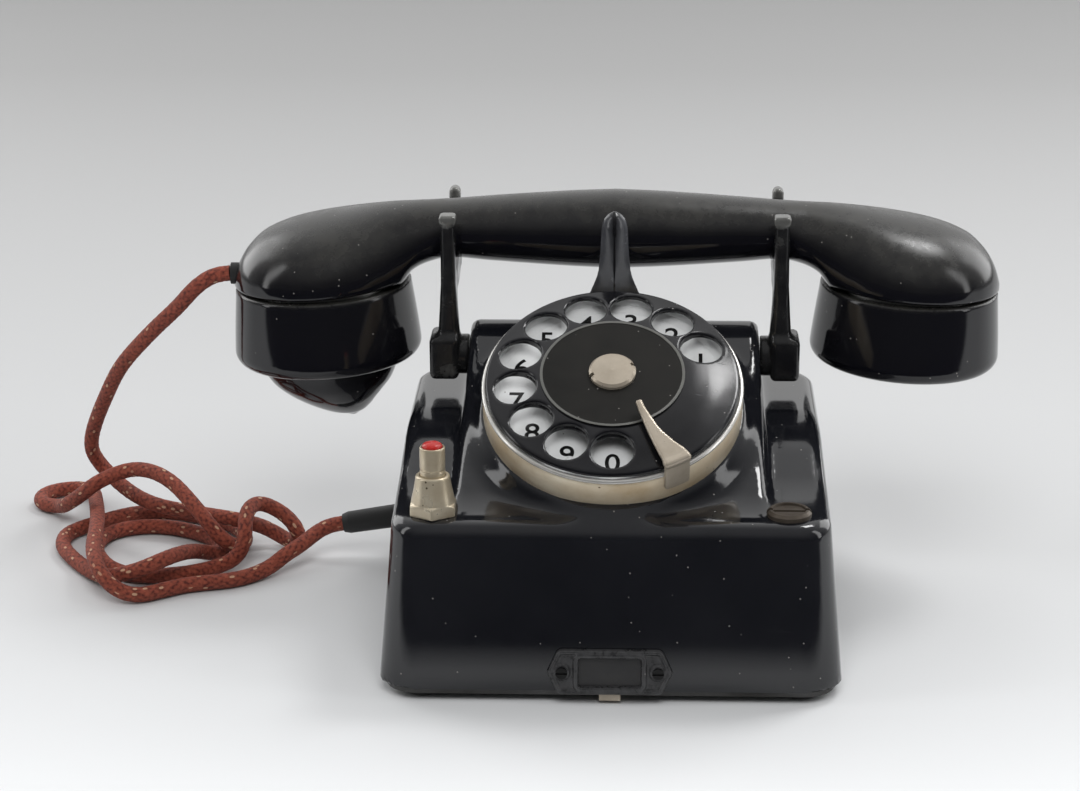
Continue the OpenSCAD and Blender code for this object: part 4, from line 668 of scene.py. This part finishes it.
def stop_form(out, across, h):
    back = out - stop_r
    sheet = np.abs(h - stop_z - stop_t / 2 + back * stop_rise) - stop_t / 2
    edges = both(across - through(back, stop_far), through(back, stop_near) - across, 0.5)
    blade = both(both(sheet, edges, 0.5), both(-stop_reach - back, back, 0.5), 0.5)
    wall = np.abs(np.hypot(out, across) - case_r - stop_t / 2) - stop_t / 2
    sides = box((-stop_half_w, stop_foot_z), (stop_half_w, stop_z + stop_t - 0.2), 0.8, across, h)
    return either(blade, both(wall, sides, 0.4), 1.2)


points, faces = skin(stop_form, (14.5, -4.5, 2.5), (40.5, 4.5, 20.5), 0.4)
turned_x = points[:, 0] * math.cos(stop_angle) - points[:, 1] * math.sin(stop_angle)
turned_y = points[:, 0] * math.sin(stop_angle) + points[:, 1] * math.cos(stop_angle)
points = on_dial(np.stack([turned_x, turned_y, points[:, 2]], axis=1))
stop = piece("finger_stop_blade", points * MM, faces, nickel, 50)
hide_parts("finger_stop")
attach(stop, "body")

# Cradle: two cast forks on the ends of the sprung yoke, enamelled black and rubbed to grey metal
# on the heads of the prongs. Each has a block at its foot, a widening leg, a saddle and two prongs.
fork_x, fork_half_t = 51, 2.3
prong_front_y, prong_rear_y, prong_d = 19.3, 48.7, 5.4
prong_top, saddle_z, leg_top_z, leg_foot_z, leg_low_z = 124.8, 106.5, 103, 86, 84
boss_x, boss_y, boss_z, boss_r = 47.5, 19, 79.5, 6.2
block_low, block_high = np.array((48, 11.8, 73)), np.array((57, 25.8, 86.5))


def fork_form(x, y, z):
    front = box((prong_front_y - prong_d, leg_low_z), (prong_front_y, prong_top), 1.2, y, z)
    rear = box((prong_rear_y, saddle_z - 5), (prong_rear_y + prong_d, prong_top), 1.2, y, z)
    arm = box((prong_front_y - 3, saddle_z - 8), (prong_rear_y + 3, saddle_z), 2.5, y, z)
    outline = either(either(front, arm, 4), rear, 2)
    spread = np.clip((leg_top_z - z) / (leg_top_z - leg_foot_z), 0, 1) * 1.1
    thinned = np.clip((y - 30) / 15, 0, 1) * 0.5
    plate = both(outline, np.abs(x - fork_x) - fork_half_t - spread + thinned, 2.0)
    head_low = (fork_x - 2.6, prong_front_y - prong_d - 0.3, prong_top - 3)
    head_high = (fork_x + 2.6, prong_front_y + 0.2, prong_top)
    head = box(head_low, head_high, 1.0, x, y, z)
    block = box(block_low, block_high, 1.8, x, y, z)
    boss = both(np.hypot(y - boss_y, z - boss_z) - boss_r, np.abs(x - boss_x) - 2.6, 0.6)
    return np.minimum(either(np.minimum(plate, head), block, 2.2), boss)


points, faces = skin(fork_form, (44.5, 11, 72), (58, 55.5, 126), 0.6)
fork_black, tree, shader = new_material("fork_black")
spot = node(tree, "ShaderNodeTexCoord").outputs["Object"]
worn = node(tree, "ShaderNodeGroup", {"Haze Size": 140.0}, node_tree=age)
height = node(tree, "ShaderNodeSeparateXYZ", {0: spot}).outputs["Z"]
patchy = maths(tree, "SUBTRACT", worn.outputs["Haze"], 0.75)
rubbed = maths(tree, "ADD", span(tree, height, 0.1205, 0.1225), patchy)
rubbed = node(tree, "ShaderNodeMath", {0: rubbed, 1: 0.0}, operation="ADD", use_clamp=True).outputs[0]
enamel_tone = mixed(tree, worn.outputs["Haze"], (0.005, 0.005, 0.006, 1), (0.018, 0.018, 0.018, 1))
plug(tree, shader, Base_Color=mixed(tree, rubbed, enamel_tone, (0.20, 0.20, 0.19, 1)),
     Roughness=span(tree, worn.outputs["Haze"], 0.0, 1.0, 0.12, 0.32),
     Metallic=maths(tree, "MULTIPLY", rubbed, 0.6))
for side, name in ((-1, "left_fork"), (1, "right_fork")):
    turned_faces = [face[::side] for face in faces]
    fork = piece(name + "_casting", points * (side, 1, 1) * MM, turned_faces, fork_black, 50)
    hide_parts(name)
    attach(fork, "cradle")

# Horn: a cast finger on the ridge in front of the grip, enamelled like the casing and bolted from inside.
# It rises from a broad foot to a narrow stem with a keel along its front and ends in a pointed arch.
horn_top = 126.7
horn_half_w = (
    (89, 12), (90.5, 12), (92, 11), (96, 9.3), (98, 8.6), (101, 7.3), (107.7, 5), (115, 4.3), (121, 4),
    (124, 3.3), (125.6, 2.1), (horn_top, 0.5), (128, 0.3))
horn_half_d = (
    (89, 3.8), (92, 3.6), (96, 3.2), (102, 3), (112, 2.8), (121, 2.6), (125, 1.8), (horn_top, 0.5),
    (128, 0.3))
horn_flute = ((89, 0.85), (104, 0.9), (110, 1.1), (118, 1.3), (128, 1.6))
horn_y = ((89, 20), (92, 19.4), (96, 17.8), (102, 15.2), (106.5, 14.4), (111, 14.2), (128, 14.2))


def horn_form(x, y, z):
    wide, deep = through(z, horn_half_w), through(z, horn_half_d)
    out = (y - through(z, horn_y)) / deep
    side = np.abs(x) / wide
    flute = through(z, horn_flute)
    keel = (side ** flute + np.abs(out / 1.4) ** flute) ** (1 / flute)
    stem = (np.where(out < 0, keel, np.hypot(side, out)) - 1) * deep * 0.8
    return both(both(stem, z - horn_top, 0.4), ridge_z - 0.2 - z, 0.3)


points, faces = skin(horn_form, (-13, 10, 89.3), (13, 25, 127.5), 0.5)
horn_black, tree, shader = new_material("horn_black")
worn = node(tree, "ShaderNodeGroup", {
    "Haze Size": 120.0, "Speck Size": 1300.0, "Speck Share": 0.01}, node_tree=age)
facing = node(tree, "ShaderNodeTexCoord").outputs["Normal"]
turn = node(tree, "ShaderNodeSeparateXYZ", {0: facing}).outputs["X"]
# Faces turned left or right are painted lighter: a painted sheen of the side lamps on the horn's flanks,
# patchy with the haze.
painted_flank_sheen = span(tree, maths(tree, "PINGPONG", turn, 1.0), 0.25, 0.7)
enamel_tone = maths(tree, "MULTIPLY", painted_flank_sheen, span(tree, worn.outputs["Haze"], 0.0, 1.0, 0.5, 1.0))
plug(tree, shader, Base_Color=mixed(tree, enamel_tone, (0.005, 0.005, 0.006, 1), (0.075, 0.077, 0.085, 1)),
     Roughness=span(tree, worn.outputs["Haze"], 0.0, 1.0, 0.12, 0.3))
horn = piece("horn_casting", points * MM, faces, horn_black, 55)
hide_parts("carrying_horn")
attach(horn, "body")

# Label: a small cast frame low on the front, with a raised rim round its window and bosses for two screws.
# It holds a blank black card and is enamelled with the casing, lighter and rougher in small random patches.
label_z, label_w, label_h = 10.2, 35.5, 13.6
window_w, window_h = 18, 8.6
screw_x = 14
front_tilt = math.atan(front_lean)
label_at = np.array((0, -casing_half_d + front_lean * (label_z - skirt_z), label_z))
label_up = np.array((0, math.sin(front_tilt), math.cos(front_tilt)))
label_out = np.array((0, -math.cos(front_tilt), math.sin(front_tilt)))


def label_form(x, up, out):
    ends = (np.abs(x) + np.abs(up) * 0.45 - label_w / 2 - 0.4) / math.hypot(1, 0.45)
    edge = both(np.abs(up) - label_h / 2, ends, 1.2)
    window = box((-window_w / 2, -window_h / 2), (window_w / 2, window_h / 2), 0.8, x, up)
    plate = both(edge, np.abs(out - 0.5) - 0.6, 0.4)
    rim = both(np.abs(window - 0.9) - 0.7, np.abs(out - 0.9) - 1.1, 0.45)
    brim = both(np.abs(edge + 0.7) - 0.55, np.abs(out - 0.7) - 1.0, 0.4)
    boss_r = np.hypot(np.abs(x) - screw_x, up)
    boss = both(boss_r - 2.4, np.abs(out - 0.7) - 1.0, 0.4)
    form = either(either(either(plate, rim, 0.5), brim, 0.5), boss, 0.5)
    form = both(form, -window, 0.3)
    return both(form, 1.15 - boss_r, 0.2)


points, faces = skin(
    label_form, (-label_w / 2 - 1, -label_h / 2 - 0.6, -0.3), (label_w / 2 + 1, label_h / 2 + 0.6, 2.1), 0.28)
points = label_at + points[:, :1] * (1, 0, 0) + points[:, 1:2] * label_up + points[:, 2:] * label_out
label_black = aged_finish("label_black", (0.012, 0.012, 0.013, 1), (0.055, 0.055, 0.057, 1), 0.2, 0.42,
                          specks=(1300.0, 0.01), haze_size=420.0)
label = piece("label_casting", points * MM, faces, label_black, 45)
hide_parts("label_frame")
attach(label, "body")
card = aged_finish("card", (0.02, 0.02, 0.021, 1), (0.035, 0.034, 0.034, 1), 0.35, 0.6, haze_size=160.0)
dress(card, "label_card")
dark_screw = aged_finish("dark_screw", (0.02, 0.02, 0.02, 1), (0.05, 0.05, 0.05, 1), 0.35, 0.5, metal=1.0)
dress(dark_screw, "label_screws")

# Button and plug on the ledge: the button is turned from nickelled brass with a hexagon at its foot
# and a red tip, and the plug is a slotted disc that closes the hole for a second one.
button_nickel = aged_finish("button_nickel", (0.64, 0.57, 0.44, 1), (0.48, 0.39, 0.26, 1), 0.26, 0.40,
                            metal=0.6, haze_size=110.0, specks=(900.0, 0.02),
                            speck_colour=(0.1, 0.07, 0.04, 1))
old_brass = aged_finish("old_brass", (0.12, 0.10, 0.08, 1), (0.06, 0.048, 0.038, 1), 0.38, 0.55, metal=0.6,
                        haze_size=150.0)
red_plastic = aged_finish("red_plastic", (0.50, 0.022, 0.018, 1), (0.36, 0.018, 0.014, 1), 0.2, 0.35,
                          haze_size=200.0)
dress(old_brass, "blanking_plug")
button_x, button_y = -51.45, -52.5
hexagon_half, housing_h, plunger_r, plunger_top = 6.5, 11.8, 3.7, 20.3
housing_taper = ((0, 6.4), (3.6, 6.4), (5.2, 6.1), (8, 5.5), (housing_h, 5.0), (housing_h + 1, 5.0))


def housing_form(x, y, h):
    flats = np.abs(x)
    for turn in (math.pi / 3, -math.pi / 3):
        flats = np.maximum(flats, np.abs(x * math.cos(turn) + y * math.sin(turn)))
    r = np.hypot(x, y)
    hexagon = both(both(flats - hexagon_half, h - 3.6, 0.2), r + h - 10.4, 0.3)
    cone = both(r - through(np.clip(h, 0, housing_h + 1), housing_taper), h - housing_h, 0.7)
    form = both(np.minimum(hexagon, cone), -h, 0.2)
    return both(form, plunger_r + 0.15 - r, 0.2)


def plunger_form(x, y, h):
    r = np.hypot(x, y)
    groove = both(np.abs(h - housing_h - 1.6) - 0.2, plunger_r - 0.2 - r, 0.1)
    stem = both(both(r - plunger_r, np.abs(h - 13.5) - (plunger_top - 13.5), 0.4), -groove, 0.1)
    return both(stem, -np.maximum(r - 3.15, plunger_top - 1.4 - h), 0.2)


def tip_form(x, y, h):
    dome = np.sqrt(x ** 2 + y ** 2 + (h - plunger_top + 3.9) ** 2) - 5.4
    return both(both(np.hypot(x, y) - 3.0, dome, 0.5), plunger_top - 1.4 - h, 0.1)


button_shapes = (
    ("button_housing", housing_form, (-7.6, -7.6, 0), (7.6, 7.6, housing_h), button_nickel, "nickel_brass",
     "body"),
    ("button_plunger", plunger_form, (-4, -4, 6.5), (4, 4, plunger_top), button_nickel, "nickel_brass",
     "button"),
    ("button_tip", tip_form, (-3.5, -3.5, 18.5), (3.5, 3.5, 22.2), red_plastic, "red_plastic", "button"))
for name, form, low, high, finish, slot, body in button_shapes:
    points, faces = skin(form, low, high, 0.35)
    made = piece(name + "_turned", (points + (button_x, button_y, ledge_z)) * MM, faces, finish, 45)
    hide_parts(name)
    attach(made, body)

# Handset: one hollow moulding of black phenolic resin, dull and brownish where dust has settled on top,
# with two screwed caps and a hood that carries the voice to the transmitter.
bakelite, tree, shader = new_material("bakelite")
worn = node(tree, "ShaderNodeGroup", {
    "Haze Size": 60.0, "Speck Size": 1300.0, "Speck Share": 0.006}, node_tree=age)
where = node(tree, "ShaderNodeTexCoord").outputs
upward = node(tree, "ShaderNodeSeparateXYZ", {0: where["Normal"]}).outputs["Z"]
settled = span(tree, worn.outputs["Haze"], 0.0, 0.8, 0.55, 1.0)
dust = maths(tree, "MULTIPLY", span(tree, upward, 0.05, 0.9), settled)
mottle = node(tree, "ShaderNodeTexNoise", {
    "Scale": 260.0, "Detail": 5.0, "Roughness": 0.7, "Vector": where["Object"]})
dust = maths(tree, "MULTIPLY", dust, span(tree, mottle.outputs[0], 0.35, 0.65, 0.55, 1.0))
resin = mixed(tree, dust, (0.004, 0.004, 0.006, 1), (0.034, 0.033, 0.029, 1))
resin = mixed(tree, worn.outputs["Specks"], resin, (0.2, 0.19, 0.18, 1))
bump = node(tree, "ShaderNodeBump", {
    "Strength": 0.25, "Distance": grain_depth, "Height": worn.outputs["Grain"]})
plug(tree, shader, Base_Color=resin, Roughness=span(tree, dust, 0.0, 1.0, 0.09, 0.42), Normal=bump.outputs[0])
handset_y, grip_z = 34, 115.9
grip_half_h, neck_half_h = 12.2, 9
grip_half_d, neck_half_d = 14, 11.5
neck_x, head_x, head_r = 51, 91.6, 27.5
end_x = head_x + head_r
joint_z, head_tilt = 98.5, math.radians(3)


def grip_run(x, middle, neck):
    return middle - (middle - neck) * (np.minimum(x, neck_x) / neck_x) ** 1.3


neck_knots = np.array((0, 13, 26, 39, neck_x))
grip_top = [(x, grip_z + grip_run(x, grip_half_h, neck_half_h)) for x in neck_knots] + [
    (head_x - 24, grip_z + neck_half_h - 1), (head_x - 7, joint_z + 23), (head_x + 7, joint_z + 20.2),
    (head_x + 17.5, joint_z + 16.2), (head_x + 23, joint_z + 11.3), (head_x + 26, joint_z + 6.5),
    (end_x - 0.4, joint_z + 3.5), (end_x, joint_z + 2)]
grip_deep = [(x, grip_run(x, grip_half_d, neck_half_d)) for x in neck_knots] + [
    (head_x - 34, neck_half_d + 0.8), (head_x - 28, neck_half_d + 3.4), (head_x - 21, head_r * 0.69)]
grip_deep += [(head_x + dx, math.sqrt(head_r ** 2 - dx ** 2)) for dx in (-14, -7, 0, 7, 14, 20, 24, 26.3)]
grip_deep.append((end_x, 3.8))
grip_low = [(x, grip_z - grip_run(x, grip_half_h, neck_half_h)) for x in neck_knots] + [
    (head_x - 34, grip_z - neck_half_h - 1), (head_x - 29, joint_z + 5.6), (head_x - 26.5, joint_z + 2.4),
    (head_x - 24, joint_z - 1), (end_x, joint_z - 30)]
grip_wide = [
    (0, grip_z), (neck_x, grip_z), (head_x - 27, joint_z + 11), (head_x - 16, joint_z + 5),
    (end_x, joint_z + 1)]
grip_square = [(0, 1), (neck_x, 1), (head_x - 20, 0.5), (end_x, 0.4)]

head_stations = head_x + head_r * np.sin(np.linspace(0, 1, 40) * math.pi / 2)
stations = np.concatenate([np.arange(0, head_x, 1.0), head_stations])
turns = np.linspace(0, 2 * math.pi, 96, endpoint=False)
rings = []
for x in stations:
    joint = joint_z - (x - head_x) * math.tan(head_tilt)
    crown, deep, square = through(x, grip_top), through(x, grip_deep), through(x, grip_square)
    low = max(through(x, grip_low), joint) if x > neck_x else through(x, grip_low)
    wide = max(low + 0.6, through(x, grip_wide))
    c, s = np.cos(turns), np.sin(turns)
    power = np.where(s < 0, square, 1)
    across = deep * np.sign(c) * np.abs(c) ** power
    height = np.where(s < 0, wide - (wide - low) * np.abs(s) ** power, wide + (crown - wide) * s)
    rings.append(np.stack([np.full_like(c, x), handset_y + across, height], axis=1))
right_half = np.array(rings)
left_half = right_half[:0:-1] * (-1, 1, 1)


def loft(rings):
    """Points and faces of a closed skin over rings of points, each end closed by a fan."""
    count, sides = rings.shape[:2]
    i, j = np.meshgrid(np.arange(count - 1), np.arange(sides), indexing="ij")
    k = (j + 1) % sides
    quads = np.stack([i * sides + j, i * sides + k, (i + 1) * sides + k, (i + 1) * sides + j], axis=-1)
    last = count * sides
    fans = [[last, n, (n + 1) % sides] for n in range(sides)]
    fans += [[last + 1, last - sides + (n + 1) % sides, last - sides + n] for n in range(sides)]
    points = np.vstack([rings.reshape(-1, 3), rings[0].mean(axis=0), rings[-1].mean(axis=0)])
    return points, [face[::-1] for face in quads.reshape(-1, 4).tolist() + fans]


points, faces = loft(np.concatenate([left_half, right_half]))
grip = piece("handset_moulding", points * MM, faces, bakelite, 50)
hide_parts("handset_grip")
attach(grip, "handset")

# Caps: two turned shells of the same resin, screwed up to the heads, flaring a little to a rounded lip.
# The receiver's has seven holes in its floor, the transmitter's a wide one behind the mouthpiece.
cap_h, cap_low_r = 24.5, 29.6
cap_side = ((-30, cap_low_r), (-24, cap_low_r), (-18.5, 29.3), (0, head_r), (4, head_r - 0.4))
ear_holes = [(0, 0)] + [(8 * math.cos(a), 8 * math.sin(a)) for a in np.arange(6) * math.pi / 3]


def cap_form(x, y, h):
    side = np.hypot(x, y) - through(h, cap_side)
    return both(both(side, -cap_h - h, 4.5), h + 0.05, 0.7)


def ear_form(x, y, h):
    form = cap_form(x, y, h)
    for hx, hy in ear_holes:
        hole = np.maximum(np.hypot(x - hx, y - hy) - 1.5, h + cap_h - 3)
        form = both(form, -hole, 0.3)
    return form


def mouth_floor_form(x, y, h):
    return both(cap_form(x, y, h), -np.maximum(np.hypot(x, y) - 17.2, h + cap_h - 3), 0.2)


def at_head(points, side):
    x, y, h = points.T
    lean = side * head_tilt
    return np.stack([side * head_x + x * math.cos(lean) + h * math.sin(lean), handset_y + y,
                     joint_z - x * math.sin(lean) + h * math.cos(lean)], axis=1)


for side, name, form in ((1, "receiver_cap", ear_form), (-1, "transmitter_cap", mouth_floor_form)):
    points, faces = skin(form, (-cap_low_r, -cap_low_r, -cap_h), (cap_low_r, cap_low_r, 0), 0.8)
    cap = piece(name + "_shell", at_head(points, side) * MM, faces, bakelite, 50)
    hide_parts(name)
    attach(cap, "handset")

# Mouthpiece: a hollow hood moulded in the same resin, screwed into the transmitter's cap.
# It narrows to a blunt snout drawn toward the middle, where its mouth opens.
hood_r, hood_depth, hood_shift, hood_wall = 21.5, 20, 6, 2
hood_narrows = (
    (-0.2, 1), (0, 1), (0.16, 0.97), (0.32, 0.9), (0.52, 0.74), (0.72, 0.52), (0.87, 0.31), (1, 0.06),
    (1.2, 0.01))
hood_drifts = (
    (-0.2, 0), (0, 0), (0.16, 0.03), (0.32, 0.08), (0.52, 0.2), (0.72, 0.42), (0.87, 0.68), (1, 1),
    (1.2, 1.1))
mouth_r, mouth_x, mouth_h, mouth_lean = 5, 12, -cap_h - 8.5, math.radians(128)


def hood_form(x, y, h):
    share = np.clip((-cap_h - h) / hood_depth, -0.1, 1.1)
    r = hood_r * through(share, hood_narrows)
    narrowing = (through(share + 0.01, hood_narrows) - through(share - 0.01, hood_narrows)) / 0.02
    slope = hood_r / hood_depth * narrowing
    side = (np.hypot(x - hood_shift * through(share, hood_drifts), y) - r) / np.hypot(1, slope)
    shell = both(side, -cap_h - hood_depth - h, 0.6)
    shell = both(both(shell, h + cap_h + 0.05, 0.3), -hood_wall - shell, 0.3)
    ahead = (x - mouth_x) * math.sin(mouth_lean) + (h - mouth_h) * math.cos(mouth_lean)
    aside = (x - mouth_x) * math.cos(mouth_lean) - (h - mouth_h) * math.sin(mouth_lean)
    mouth = np.maximum(np.hypot(aside, y) - mouth_r, -ahead)
    return both(shell, -mouth, 0.5)


points, faces = skin(hood_form, (-hood_r, -hood_r, -cap_h - hood_depth - 0.5), (hood_r, hood_r, -cap_h), 0.6)
hood = piece("mouthpiece_hood", at_head(points, -1) * MM, faces, bakelite, 50)
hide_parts("mouthpiece")
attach(hood, "handset")

low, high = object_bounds()
